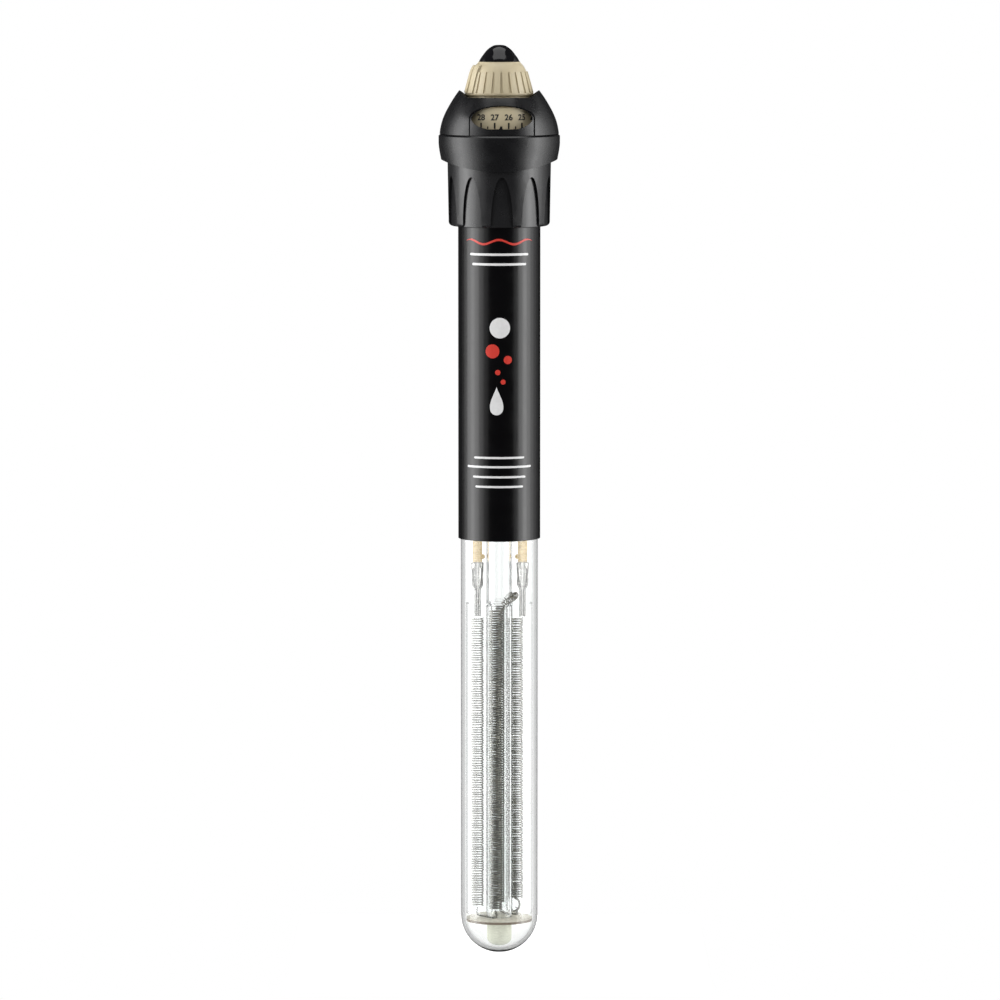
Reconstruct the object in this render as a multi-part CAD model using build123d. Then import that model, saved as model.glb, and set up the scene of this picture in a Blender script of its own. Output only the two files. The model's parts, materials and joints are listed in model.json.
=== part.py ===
from build123d import *
import math
import os

# Submersible aquarium heater. Millimetres, +Z up along the tube axis.
# The origin is the lowest point of the glass, on the axis. The dial window faces -Y.

# Allowances shared by many parts
OVERRUN = 1.0  # a cutting shape runs this far past the part it cuts
MERGE = 0.5  # a shape runs this far into the one it joins
PRESS_GAP = 0.02  # a part that sits tight in its bore
PIN_GAP = 0.01  # a pin or rivet in its hole

# Glass tube
TUBE_RADIUS = 13.0
TUBE_WALL = 1.3
TUBE_TOP = 269.4
TUBE_BORE = TUBE_RADIUS - TUBE_WALL

# Printed sleeve round the tube
SLEEVE_INNER = 13.1
SLEEVE_OUTER = 13.85
SLEEVE_TUCKED_OUTER = 13.45
SLEEVE_BOTTOM = 142.1
SLEEVE_STEP = 247.5
SLEEVE_TOP = 250.2

# Fluted clamp nut
NUT_BOTTOM = 247.7
NUT_TOP = 269.5
NUT_RADIUS_LOW = 17.0
NUT_RADIUS_TOP = 17.4
NUT_EDGE_ROUND = 1.4
NUT_SHOULDER = 250.4
NUT_SLEEVE_BORE = 14.1
NUT_THREAD_BORE = 16.0
FLUTE_COUNT = 10
FLUTE_HALF_WIDTH = 3.74
FLUTE_APEX = 264.6
FLUTE_FLOOR_RADIUS = 16.35
FLUTE_FIRST_ANGLE = 3.0

# Rubber seal between the nut and the neck of the bowl
SEAL_INNER = 13.05
SEAL_OUTER = 15.8
SEAL_BOTTOM = 250.5
SEAL_TOP = 256.1

# Head bowl
NECK_INNER = 13.15
NECK_OUTER = 15.9
NECK_BOTTOM = 256.2
BOWL_TOP = 278.4
BOWL_RADIUS = 20.4
BOWL_LOW_RADIUS = 18.9
BOWL_LOW_Z = 264.8
BOWL_BELLY = [(19.6, 270.2), (20.15, 273.2)]
BOWL_STRAIGHT_Z = 275.6
BOWL_EDGE = 0.5
BOWL_LIP_INNER = 17.8
BOWL_FLOOR_BOTTOM = 269.7
BOWL_FLOOR_TOP = 271.2
BOWL_FLOOR_HOLE = 11.6
CHAMBER_RADIUS = 17.4
LIP_LOWEST = 266.5
LIP_CURVE_RADIUS = 55.9

# Dome cover
DOME_CURVE = [(20.05, 278.6), (19.87, 280.0), (19.05, 283.3), (16.93, 287.8), (13.75, 292.7), (12.3, 294.5)]
DOME_WALL = 1.2
DOME_CENTRE_Z = 276.0
DOME_BOTTOM = 278.6
DOME_TOP = 293.1
DOME_BORE = 12.5
TROUGH_FLOOR = 291.0
TROUGH_HALF_FLOOR = 10.8
TROUGH_HALF_TOP = 13.4
WINDOW_X = 0.9
WINDOW_Z = 284.2
WINDOW_HALF_WIDTH = 10.2
WINDOW_HALF_HEIGHT = 4.0
WINDOW_SILL = 280.7
WINDOW_CUT_NEAR = 10.0
WINDOW_CUT_LENGTH = 16.0
PANEL_SIDE_MARGIN = 0.85
PANEL_TOP_MARGIN = 0.35
PANEL_DEPTH = 0.4
POINTER_X = 0.55
POINTER_HEIGHT = 1.0
POINTER_HALF_BASE = 0.8
POINTER_HALF_TIP = 0.15
POINTER_BACK = 17.3
POINTER_DEPTH = 1.9

# Bearing plate, gasket and O-ring
PLATE_BOTTOM = 278.9
PLATE_TOP = 280.1
PLATE_RADIUS = 18.4
BOSS_RADIUS = 5.6
BOSS_BOTTOM = 272.0
BOSS_TOP = 283.0
GASKET_INNER = 17.5
ORING_Z = 275.5
ORING_SECTION = 0.9
ORING_SLACK = 0.05
SPINDLE_RADIUS = 2.5
SPINDLE_BORE = 2.56
STOP_ANGLES = (195.3, 289.5)
STOP_RADIUS = 12.3
STOP_SIZE = 1.6
STOP_TOP = 285.2

# Cord gland in the rear of the bowl
GLAND_Z = 274.8
GLAND_RADIUS = 3.3
GLAND_BORE = 2.7
GLAND_INNER_END = 16.6
GLAND_OUTER_END = 20.3

# Knob, dial ring and cap
KNOB_BASE = 291.4
KNOB_LIP_TOP = 292.4
KNOB_LIP_CURVE = [(11.4, 292.4), (11.5, 292.1), (11.35, 291.7), (10.7, KNOB_BASE)]
KNOB_SHELL_CURVE = [
    (11.05, KNOB_LIP_TOP), (10.45, 294.6), (9.6, 297.7), (8.75, 300.2), (8.1, 301.3), (7.25, 302.2)]
KNOB_TOP = 302.7
KNOB_TOP_RADIUS = 6.95
KNOB_HOLLOW = [(9.4, 292.8), (8.1, 297.2), (4.6, 297.8)]
KNOB_SKIRT_RADIUS = 10.3
KNOB_SKIRT_BOTTOM = 288.0
KNOB_WALL = 1.5
KNOB_HUB_RADIUS = 4.6
RIB_COUNT = 24
RIB_TOP = 299.4
RIB_HEIGHT = 0.45
RIB_WIDTH = 2.0
RIB_FIRST_ANGLE = 11.5
GRIP_ANGLES = (16.0, 34.0)
GRIP_WIDTH = 2.6
GRIP_HEIGHT = 0.95
GRIP_TOP = 301.6
DIAL_RADIUS = 15.2
DIAL_WALL = 1.3
DIAL_BOTTOM = 280.6
DIAL_TOP = 287.7
DIAL_WEB_BOTTOM = 286.4
DIAL_LUG_BOTTOM = 283.1
CAP_CURVE = [(6.8, 302.75), (6.25, 303.8), (5.5, 304.85), (4.1, 306.6), (2.3, 307.9), (0.0, 308.3)]
CAP_RIM_DIRECTION = (-0.5, 1)
CAP_TIP_DIRECTION = (-1, 0)
CAP_GAP = 0.05
CAP_PLUG_RADIUS = 4.4
CAP_PLUG_DEPTH = 1.4
SCREW_HEAD_RADIUS = 2.8
SCREW_HEAD_BOTTOM = 299.2
SCREW_HEAD_HEIGHT = 1.8
SCREW_HEAD_ROUND = 0.7
SCREW_SHANK_RADIUS = 1.25
SCREW_SHANK_LENGTH = 7.0
SCREW_SLACK = 0.2
SCREW_SLOT_WIDTH = 0.7
SCREW_SLOT_DEPTH = 0.8

# Spindle and adjusting screw
SPINDLE_BOTTOM = 256.0
SPINDLE_TOP = 299.0
SLOT_DEPTH = 4.4
SLOT_WIDTH = 1.3
TONGUE_THICKNESS = 1.1
TONGUE_WIDTH = 3.8
ADJUST_RADIUS = 2.0
ADJUST_BOTTOM = 230.0
ADJUST_TIP_RADIUS = 1.2
ADJUST_SHOULDER = 236.0
ADJUST_SHANK_TOP = 254.5
TONGUE_TOP = 259.6
BUSH_BORE = 2.06
BUSH_RADIUS = 3.6
BUSH_BOTTOM = 243.0
BUSH_FLANGE_RADIUS = 4.8
BUSH_FLANGE_BOTTOM = 246.4
BUSH_GAP = 0.05
BUSH_HOLE_GAP = 0.03

# Thermostat carrier
DISC_RADIUS = 11.2
LOWER_DISC_BOTTOM = 142.6
LOWER_DISC_TOP = 145.6
UPPER_DISC_BOTTOM = 248.0
UPPER_DISC_TOP = 252.0
BACK_HALF_WIDTH = 7.0
BACK_FRONT_Y = 6.2
BACK_REAR_Y = 8.0
BACK_TOP = 268.6
EAR_HALF_SPAN = 4.4
EAR_THICKNESS = 1.2
EAR_REACH = 1.6
EAR_HALF_HEIGHT = 2.0
PIVOT_Y = 4.0
PIVOT_Z = 229.1
PIVOT_RADIUS = 0.75
PIVOT_BORE = 0.81
PIVOT_PROUD = 0.4
WIRE_HOLE_GAP = 0.2
TERMINAL_HOLE_GAP = 0.05

# Contact arm, contacts and bimetal strip
ARM_HALF_WIDTH = 2.4
ARM_THICKNESS = 0.8
ARM_TIP_Y = -1.6
ARM_EYE_WALL = 0.6
ARM_LOW_Z = 219.0
CONTACT_Z = 221.0
CONTACT_RADIUS = 1.3
CONTACT_HEIGHT = 0.6
STRIP_Y = 1.3
STRIP_THICKNESS = 0.6
STRIP_HALF_WIDTH = 2.5
STRIP_BOTTOM = 159.0
STRIP_TOP = 226.0
STRIP_ROOT_Z = 163.0
STRIP_RIVET_GAP = 0.35
BRACKET_CLEARANCE = 0.3
BRACKET_HEIGHT = 9.0
BRACKET_HALF_WIDTH = 4.0
BRACKET_SHEET = 1.0
BRACKET_SLOT_MARGIN = 0.4
RIVET_RADIUS = 0.9
RIVET_HEAD_RADIUS = 1.4
RIVET_HEAD_HEIGHT = 0.7
RIVET_END_GAP = 0.1
RIVET_SPREAD = 1.5
MAGNET_Z = 204.0
MAGNET_LENGTH = 8.0
MAGNET_HALF_WIDTH = 2.6
MAGNET_FRONT_Y = 3.5
ARMATURE_THICKNESS = 0.8

# Terminals, crimps and lead strips: their places across the tube, left and right
LEAD_PLACES = {"left": -7.4, "right": 7.9}
TERMINAL_WIDTH = 3.2
TERMINAL_THICKNESS = 0.8
TERMINAL_BOTTOM = 133.8
TERMINAL_TOP = 150.0
TERMINAL_STUD_Z = 135.6
TERMINAL_STUD_RADIUS = 0.75
TERMINAL_STUD_HALF_LENGTH = 0.7
TERMINAL_STUD_OVERHANG = 0.2
CRIMP_TOP = 133.6
CRIMP_BOTTOM = 125.0
CRIMP_RADIUS = 2.0
CRIMP_SHEET = 0.4
CRIMP_SEAM = 0.9
CRIMP_UPPER_HEIGHT = 3.2
CRIMP_LOWER_START = 1.6
CRIMP_LOWER_END = 4.2
CRIMP_NARROWING = 0.3
CRIMP_SPINE_HALF_WIDTH = 1.0
CRIMP_SPINE_THICKNESS = 0.4
CRIMP_WELD = 0.05
STRIP_LEAD_WIDTH = 2.2
STRIP_LEAD_THICKNESS = 0.5
STRIP_LEAD_BOTTOM = 115.2
STRIP_LEAD_OVERLAP = 1.6

# Heating element: four thin glass tubes round the axis, each with a coil
RING_RADIUS = 7.1
ELEMENT_RADIUS = 4.25
ELEMENT_WALL = 0.6
ELEMENT_BOTTOM = 13.6
ELEMENT_TOP = 119.9
COIL_RADIUS = 2.3
COIL_WALL = 0.55
COIL_BOTTOM = 15.6
LONG_COIL_TOP = 118.5
SHORT_COIL_TOP = 115.0
SPACER_RADIUS = 4.4
SPACER_WALL = 0.7
SPACER_BOTTOM = 120.1
SPACER_TOP = 142.4
LINK_RADIUS = 0.5
LINK_END_GAP = 0.1
TOP_LINK_BEND = 1.0
TOP_LINK_FRONT_Z = 121.6
TOP_LINK_BACK_Z = 122.2
TOP_LINK_CROSSING = [(5.4, -3.9, 122.6), (5.7, 3.2, 123.2)]
BOTTOM_LINK_BEND = 0.9
BOTTOM_LINK_CLEARANCE = 0.2
BASE_DISC_RADIUS = 11.2
BASE_DISC_BOTTOM = 11.2
BASE_DISC_TOP = 12.0
PAD_RADIUS = 4.2
PAD_BOTTOM = 2.2
PAD_TOP = 11.1
PAD_EDGE_ROUND = 2.6

# Each element tube: its middle, its coil's middle and its coil's top
ELEMENT_LAYOUT = {
    "front": {"tube": (0.0, -RING_RADIUS), "coil": (-1.2, -RING_RADIUS), "top": LONG_COIL_TOP},
    "left": {"tube": (-RING_RADIUS, 0.0), "coil": (-RING_RADIUS - 0.4, 0.0), "top": SHORT_COIL_TOP},
    "right": {"tube": (RING_RADIUS, 0.0), "coil": (RING_RADIUS - 1.2, 0.0), "top": SHORT_COIL_TOP},
    "back": {"tube": (0.0, RING_RADIUS), "coil": (0.4, RING_RADIUS), "top": LONG_COIL_TOP},
}

# Wires and the capacitor
WIRE_RADIUS = 0.7
WIRE_BEND = 2.0
WIRE_SHARP_BEND = 1.2
WIRE_END_GAP = 0.4
# Upright stretch of each wire, beside the carrier's back
WIRE_COLUMNS = {"neutral": (8.3, 5.4), "live": (-8.9, 3.1), "switch": (-8.4, 5.2)}
NEUTRAL_TURN_START_Z = 151.0
NEUTRAL_TURN_END_Z = 158.0
SWITCH_TURN_START_Z = 149.0
SWITCH_TURN_END_Z = 156.0
SWITCH_LEAD_TOP_Z = 226.0
SWITCH_LEAD_END = (-5.3, 4.2, 227.5)
LIVE_START = (-4.8, 3.2)
LIVE_RISE = 3.0
GLAND_WIRE_X = 1.0
GLAND_WIRE_Y = 15.6
CAPACITOR_SIZE = (12.0, 6.0, 11.0)
CAPACITOR_Y = -5.2
CAPACITOR_GAP = 0.1
CAPACITOR_EDGE_ROUND = 0.8

parts = {}


def turned(points):
    """Solid of revolution about the tube axis from (radius, height) points."""
    return revolve(Plane.XZ * make_face(Polyline(*points, close=True)), Axis.Z)


def ring(inner, outer, bottom, top):
    """Plain round ring or tube on the tube axis."""
    return turned([(inner, bottom), (outer, bottom), (outer, top), (inner, top)])


def post(radius, bottom, top, x=0.0, y=0.0):
    """Upright round post."""
    height = top - bottom
    return Pos(x, y, bottom + height / 2) * Cylinder(radius, height)


def block(x_span, y_span, z_span):
    """Box from its lowest and highest coordinate on each axis."""
    spans = (x_span, y_span, z_span)
    middle = [(low + high) / 2 for low, high in spans]
    size = [high - low for low, high in spans]
    return Pos(*middle) * Box(*size)


def rod_along_y(radius, y_low, y_high, x, z):
    """Round rod parallel to Y."""
    length = y_high - y_low
    return Pos(x, y_low + length / 2, z) * Rot(90, 0, 0) * Cylinder(radius, length)


def wire_along(points, radius, bends):
    """Round wire along straight runs joined by tangent arcs."""
    path = FilletPolyline(*points, radius=bends)
    start = Plane(origin=path @ 0, z_dir=path % 0)
    return sweep(start * Circle(radius), path=path)


def window_prism():
    """Ellipse with a level sill, drawn out through the front of the dome."""
    outline = Pos(WINDOW_X, WINDOW_Z) * Ellipse(WINDOW_HALF_WIDTH, WINDOW_HALF_HEIGHT)
    height = 3 * WINDOW_HALF_HEIGHT
    outline &= Pos(WINDOW_X, WINDOW_SILL + height / 2) * Rectangle(3 * WINDOW_HALF_WIDTH, height)
    return extrude(Plane.XZ.offset(WINDOW_CUT_NEAR) * outline, WINDOW_CUT_LENGTH)


def panel_prism():
    """Arched panel round the window, with straight sides down to the seam of the dome."""
    half_width = WINDOW_HALF_WIDTH + PANEL_SIDE_MARGIN
    outline = Pos(WINDOW_X, WINDOW_Z) * Ellipse(half_width, WINDOW_HALF_HEIGHT + PANEL_TOP_MARGIN)
    height = WINDOW_Z - DOME_BOTTOM + OVERRUN
    outline += Pos(WINDOW_X, WINDOW_Z - height / 2) * Rectangle(2 * half_width, height)
    return extrude(Plane.XZ.offset(WINDOW_CUT_NEAR) * outline, WINDOW_CUT_LENGTH)


def dome_solid(depth):
    """Dome filled to the axis, its skin taken in towards the centre by the depth."""
    skin = []
    for radius, z in DOME_CURVE:
        share = 1 - depth / math.hypot(radius, z - DOME_CENTRE_Z)
        skin.append((radius * share, DOME_CENTRE_Z + (z - DOME_CENTRE_Z) * share))
    outline = Curve() + [
        Spline(*skin),
        Polyline(skin[-1], (0, skin[-1][1]), (0, skin[0][1]), skin[0])]
    return revolve(Plane.XZ * make_face(outline), Axis.Z)


def make_glass_tube():
    outer = post(TUBE_RADIUS, TUBE_RADIUS, TUBE_TOP) + Pos(0, 0, TUBE_RADIUS) * Sphere(TUBE_RADIUS)
    bore = post(TUBE_BORE, TUBE_RADIUS, TUBE_TOP) + Pos(0, 0, TUBE_RADIUS) * Sphere(TUBE_BORE)
    return outer - bore


def make_label_sleeve():
    return turned([
        (SLEEVE_INNER, SLEEVE_BOTTOM), (SLEEVE_OUTER, SLEEVE_BOTTOM), (SLEEVE_OUTER, SLEEVE_STEP),
        (SLEEVE_TUCKED_OUTER, SLEEVE_STEP), (SLEEVE_TUCKED_OUTER, SLEEVE_TOP), (SLEEVE_INNER, SLEEVE_TOP)])


def make_clamp_nut():
    body = turned([
        (NUT_SLEEVE_BORE, NUT_BOTTOM), (NUT_RADIUS_LOW, NUT_BOTTOM), (NUT_RADIUS_TOP, NUT_TOP),
        (NUT_THREAD_BORE, NUT_TOP), (NUT_THREAD_BORE, NUT_SHOULDER), (NUT_SLEEVE_BORE, NUT_SHOULDER)])
    lowest_edges = body.edges().group_by(Axis.Z)[0]
    body = fillet(lowest_edges.sort_by(SortBy.LENGTH)[-1], NUT_EDGE_ROUND)
    arch = Pos(0, NUT_BOTTOM) * Ellipse(FLUTE_HALF_WIDTH, FLUTE_APEX - NUT_BOTTOM)
    cutter = extrude(Plane.XZ.offset(TUBE_RADIUS) * arch, BOWL_RADIUS - TUBE_RADIUS)
    cutter -= post(FLUTE_FLOOR_RADIUS, 2 * NUT_BOTTOM - NUT_TOP, NUT_TOP)
    for index in range(FLUTE_COUNT):
        body -= Rot(0, 0, FLUTE_FIRST_ANGLE + index * 360 / FLUTE_COUNT) * cutter
    return body


def make_tube_seal():
    return ring(SEAL_INNER, SEAL_OUTER, SEAL_BOTTOM, SEAL_TOP)


def make_head_bowl():
    side_low = (BOWL_LOW_RADIUS, BOWL_LOW_Z)
    belly_top = (BOWL_RADIUS, BOWL_STRAIGHT_Z)
    outline = Curve() + [
        Spline(side_low, *BOWL_BELLY, belly_top),
        Polyline(belly_top, (BOWL_RADIUS, BOWL_TOP - BOWL_EDGE), (BOWL_RADIUS - BOWL_EDGE, BOWL_TOP),
                 (0, BOWL_TOP), (0, BOWL_LOW_Z), side_low)]
    body = revolve(Plane.XZ * make_face(outline), Axis.Z)
    lip_curve = Pos(0, 0, LIP_LOWEST + LIP_CURVE_RADIUS) * Rot(90, 0, 0)
    body &= lip_curve * Cylinder(LIP_CURVE_RADIUS, 4 * BOWL_RADIUS)
    body -= post(BOWL_LIP_INNER, BOWL_LOW_Z - OVERRUN, BOWL_FLOOR_BOTTOM)
    body -= post(CHAMBER_RADIUS, BOWL_FLOOR_TOP, BOWL_TOP + OVERRUN)
    body += ring(NECK_INNER, NECK_OUTER, NECK_BOTTOM, BOWL_FLOOR_BOTTOM + MERGE)
    body -= post(BOWL_FLOOR_HOLE, NECK_BOTTOM - OVERRUN, BOWL_TOP)
    body -= rod_along_y(GLAND_RADIUS, GLAND_INNER_END - OVERRUN, BOWL_RADIUS + OVERRUN, 0, GLAND_Z)
    return body


def make_dome_cover():
    keep = post(2 * BOWL_RADIUS, DOME_BOTTOM, DOME_TOP)
    body = dome_solid(0) & keep
    behind_panel = dome_solid(PANEL_DEPTH) + post(BOWL_LIP_INNER, DOME_BOTTOM - OVERRUN, DOME_BOTTOM)
    body -= panel_prism() - behind_panel
    body -= dome_solid(DOME_WALL)
    body -= post(CHAMBER_RADIUS, DOME_BOTTOM - OVERRUN, DOME_BOTTOM + MERGE)
    body -= post(DOME_BORE, WINDOW_Z, DOME_TOP + OVERRUN)
    above = DOME_TOP + OVERRUN
    trough = Plane.XZ * make_face(Polyline(
        (-TROUGH_HALF_FLOOR, TROUGH_FLOOR), (TROUGH_HALF_FLOOR, TROUGH_FLOOR), (TROUGH_HALF_TOP, DOME_TOP),
        (TROUGH_HALF_TOP, above), (-TROUGH_HALF_TOP, above), (-TROUGH_HALF_TOP, DOME_TOP), close=True))
    body -= extrude(trough, BOWL_RADIUS, both=True)
    body -= window_prism()
    return body + make_pointer()


def make_pointer():
    """Small mark that stands on the sill of the window."""
    foot = WINDOW_SILL - POINTER_HEIGHT / 3
    tip = WINDOW_SILL + POINTER_HEIGHT
    outline = Plane.XZ.offset(POINTER_BACK) * make_face(Polyline(
        (POINTER_X - POINTER_HALF_BASE, foot), (POINTER_X + POINTER_HALF_BASE, foot),
        (POINTER_X + POINTER_HALF_TIP, tip), (POINTER_X - POINTER_HALF_TIP, tip), close=True))
    return extrude(outline, POINTER_DEPTH)


def make_bearing_plate():
    plate = ring(SPINDLE_BORE, PLATE_RADIUS, PLATE_BOTTOM, PLATE_TOP)
    boss = ring(SPINDLE_BORE, BOSS_RADIUS, BOSS_BOTTOM, BOSS_TOP)
    groove_half = ORING_SECTION + ORING_SLACK
    groove = ring(SPINDLE_BORE - OVERRUN, SPINDLE_RADIUS + 2 * groove_half,
                  ORING_Z - groove_half, ORING_Z + groove_half)
    half = STOP_SIZE / 2
    stop = block((STOP_RADIUS - half, STOP_RADIUS + half), (-half, half), (PLATE_BOTTOM + MERGE, STOP_TOP))
    stops = [Rot(0, 0, angle) * stop for angle in STOP_ANGLES]
    return plate + boss + stops - groove


def make_plate_gasket():
    return ring(GASKET_INNER, PLATE_RADIUS, BOWL_TOP, PLATE_BOTTOM)


def make_spindle_oring():
    return Pos(0, 0, ORING_Z) * Torus(SPINDLE_RADIUS + ORING_SECTION + ORING_SLACK, ORING_SECTION)


def make_cord_gland():
    gland = rod_along_y(GLAND_RADIUS - PRESS_GAP, GLAND_INNER_END, GLAND_OUTER_END, 0, GLAND_Z)
    return gland - rod_along_y(GLAND_BORE, GLAND_INNER_END - OVERRUN, GLAND_OUTER_END + OVERRUN, 0, GLAND_Z)


def knob_shell(extra):
    """Solid inside the knob's outer curve, above its base lip, widened by the extra."""
    curve = Pos(extra, 0) * Spline(*KNOB_SHELL_CURVE)
    low_radius = KNOB_SHELL_CURVE[0][0] + extra
    high_radius, high_z = KNOB_SHELL_CURVE[-1]
    outline = Curve() + [
        curve,
        Polyline((high_radius + extra, high_z), (0, high_z), (0, KNOB_LIP_TOP), (low_radius, KNOB_LIP_TOP))]
    return revolve(Plane.XZ * make_face(outline), Axis.Z)


def knob_rib(width, height, top, angle):
    """Upright rib that follows the knob's curve, at an angle from its -X side."""
    slab = block((-2 * KNOB_SKIRT_RADIUS, -KNOB_TOP_RADIUS / 2), (-width / 2, width / 2), (KNOB_LIP_TOP, top))
    return Rot(0, 0, angle) * (knob_shell(height) & slab)


def knob_outside():
    """Knob filled to the axis: base lip, shell and the narrow bevel under the cap."""
    shell_low = KNOB_SHELL_CURVE[0]
    shell_high = KNOB_SHELL_CURVE[-1]
    outline = Curve() + [
        Spline(*KNOB_LIP_CURVE),
        Spline(*KNOB_SHELL_CURVE),
        Polyline(KNOB_LIP_CURVE[0], shell_low),
        Polyline(shell_high, (KNOB_TOP_RADIUS, KNOB_TOP), (0, KNOB_TOP), (0, KNOB_BASE), KNOB_LIP_CURVE[-1])]
    return revolve(Plane.XZ * make_face(outline), Axis.Z)


def make_knob():
    outer = knob_outside()
    for index in range(RIB_COUNT):
        outer += knob_rib(RIB_WIDTH, RIB_HEIGHT, RIB_TOP, RIB_FIRST_ANGLE + index * 360 / RIB_COUNT)
    for angle in GRIP_ANGLES:
        outer += knob_rib(GRIP_WIDTH, GRIP_HEIGHT, GRIP_TOP, angle)
    skirt_inner = KNOB_SKIRT_RADIUS - KNOB_WALL
    outer += ring(skirt_inner, KNOB_SKIRT_RADIUS, KNOB_SKIRT_BOTTOM, KNOB_BASE + MERGE)
    hollow = turned([
        (KNOB_HUB_RADIUS, KNOB_SKIRT_BOTTOM), (skirt_inner, KNOB_SKIRT_BOTTOM), (skirt_inner, KNOB_BASE),
        *KNOB_HOLLOW])
    hub = post(KNOB_HUB_RADIUS, KNOB_SKIRT_BOTTOM + OVERRUN, KNOB_BASE + OVERRUN)
    body = outer - hollow + hub
    body -= post(SPINDLE_RADIUS + PRESS_GAP, KNOB_SKIRT_BOTTOM - OVERRUN, SPINDLE_TOP + CAP_GAP)
    body -= post(SCREW_SHANK_RADIUS + SCREW_SLACK, SPINDLE_TOP - OVERRUN, KNOB_TOP)
    return body - post(CAP_PLUG_RADIUS + CAP_GAP, SCREW_HEAD_BOTTOM, KNOB_TOP + OVERRUN)


def make_dial_ring():
    inner = DIAL_RADIUS - DIAL_WALL
    skirt = ring(inner, DIAL_RADIUS, DIAL_BOTTOM, DIAL_TOP)
    web = ring(KNOB_SKIRT_RADIUS - KNOB_WALL, inner + MERGE, DIAL_WEB_BOTTOM, DIAL_TOP)
    web_inside = DIAL_WEB_BOTTOM + MERGE
    collar = ring(KNOB_SKIRT_RADIUS - KNOB_WALL, KNOB_SKIRT_RADIUS, web_inside, KNOB_SKIRT_BOTTOM)
    half = STOP_SIZE / 2
    lug = block((-half, half), (STOP_RADIUS - half, STOP_RADIUS + half), (DIAL_LUG_BOTTOM, web_inside))
    return skirt + web + collar + lug


def make_knob_cap():
    nose = Spline(*CAP_CURVE, tangents=[CAP_RIM_DIRECTION, CAP_TIP_DIRECTION])
    rim = CAP_CURVE[0]
    outline = Curve() + [nose, Polyline(CAP_CURVE[-1], (0, rim[1]), rim)]
    body = revolve(Plane.XZ * make_face(outline), Axis.Z)
    return body + post(CAP_PLUG_RADIUS, KNOB_TOP - CAP_PLUG_DEPTH, KNOB_TOP + MERGE)


def make_knob_screw():
    head_top = SCREW_HEAD_BOTTOM + SCREW_HEAD_HEIGHT
    head = post(SCREW_HEAD_RADIUS, SCREW_HEAD_BOTTOM, head_top)
    head = fillet(head.edges().group_by(Axis.Z)[-1], SCREW_HEAD_ROUND)
    shank = post(SCREW_SHANK_RADIUS, SPINDLE_TOP - SCREW_SHANK_LENGTH, SCREW_HEAD_BOTTOM + MERGE)
    slot = Pos(0, 0, head_top) * Box(SCREW_SLOT_WIDTH, 3 * SCREW_HEAD_RADIUS, 2 * SCREW_SLOT_DEPTH)
    return head + shank - slot


def make_spindle():
    body = post(SPINDLE_RADIUS, SPINDLE_BOTTOM, SPINDLE_TOP)
    hole_bottom = SPINDLE_TOP - SCREW_SHANK_LENGTH - MERGE
    body -= post(SCREW_SHANK_RADIUS + PRESS_GAP, hole_bottom, SPINDLE_TOP + OVERRUN)
    slot = block((-SLOT_WIDTH / 2, SLOT_WIDTH / 2), (-2 * SPINDLE_RADIUS, 2 * SPINDLE_RADIUS),
                 (SPINDLE_BOTTOM - OVERRUN, SPINDLE_BOTTOM + SLOT_DEPTH))
    return body - slot


def make_adjust_screw():
    body = post(ADJUST_RADIUS, ADJUST_SHOULDER, ADJUST_SHANK_TOP)
    body += post(ADJUST_TIP_RADIUS, ADJUST_BOTTOM, ADJUST_SHOULDER + MERGE)
    half = TONGUE_THICKNESS / 2
    reach = TONGUE_WIDTH / 2
    tongue = block((-half, half), (-reach, reach), (ADJUST_SHANK_TOP - MERGE, TONGUE_TOP))
    return body + tongue


def make_threaded_bush():
    flange = ring(BUSH_BORE, BUSH_FLANGE_RADIUS, BUSH_FLANGE_BOTTOM, UPPER_DISC_BOTTOM - BUSH_GAP)
    return ring(BUSH_BORE, BUSH_RADIUS, BUSH_BOTTOM, UPPER_DISC_TOP) + flange


def make_carrier():
    lower = post(DISC_RADIUS, LOWER_DISC_BOTTOM, LOWER_DISC_TOP)
    upper = post(DISC_RADIUS, UPPER_DISC_BOTTOM, UPPER_DISC_TOP)
    back = block((-BACK_HALF_WIDTH, BACK_HALF_WIDTH), (BACK_FRONT_Y, BACK_REAR_Y),
                 (LOWER_DISC_BOTTOM, BACK_TOP))
    body = lower + upper + back
    for side in (-1, 1):
        inner = side * (EAR_HALF_SPAN - EAR_THICKNESS)
        outer = side * EAR_HALF_SPAN
        body += block(sorted((inner, outer)), (PIVOT_Y - EAR_REACH, BACK_FRONT_Y + MERGE),
                      (PIVOT_Z - EAR_HALF_HEIGHT, PIVOT_Z + EAR_HALF_HEIGHT))
    pin_hole = Cylinder(PIVOT_RADIUS + PIN_GAP, 2 * DISC_RADIUS)
    body -= Pos(0, PIVOT_Y, PIVOT_Z) * Rot(0, 90, 0) * pin_hole
    hole_bottom = UPPER_DISC_BOTTOM - OVERRUN
    hole_top = UPPER_DISC_TOP + OVERRUN
    body -= post(BUSH_RADIUS + BUSH_HOLE_GAP, hole_bottom, hole_top)
    for x, y in WIRE_COLUMNS.values():
        body -= post(WIRE_RADIUS + WIRE_HOLE_GAP, hole_bottom, hole_top, x, y)
    for x in LEAD_PLACES.values():
        half_width = TERMINAL_WIDTH / 2 + TERMINAL_HOLE_GAP
        half_sheet = TERMINAL_THICKNESS / 2 + TERMINAL_HOLE_GAP
        body -= block((x - half_width, x + half_width), (-half_sheet, half_sheet),
                      (LOWER_DISC_BOTTOM - OVERRUN, LOWER_DISC_TOP + OVERRUN))
    return body


def make_arm_pivot_pin():
    length = 2 * (EAR_HALF_SPAN + PIVOT_PROUD)
    return Pos(0, PIVOT_Y, PIVOT_Z) * Rot(0, 90, 0) * Cylinder(PIVOT_RADIUS, length)


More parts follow.
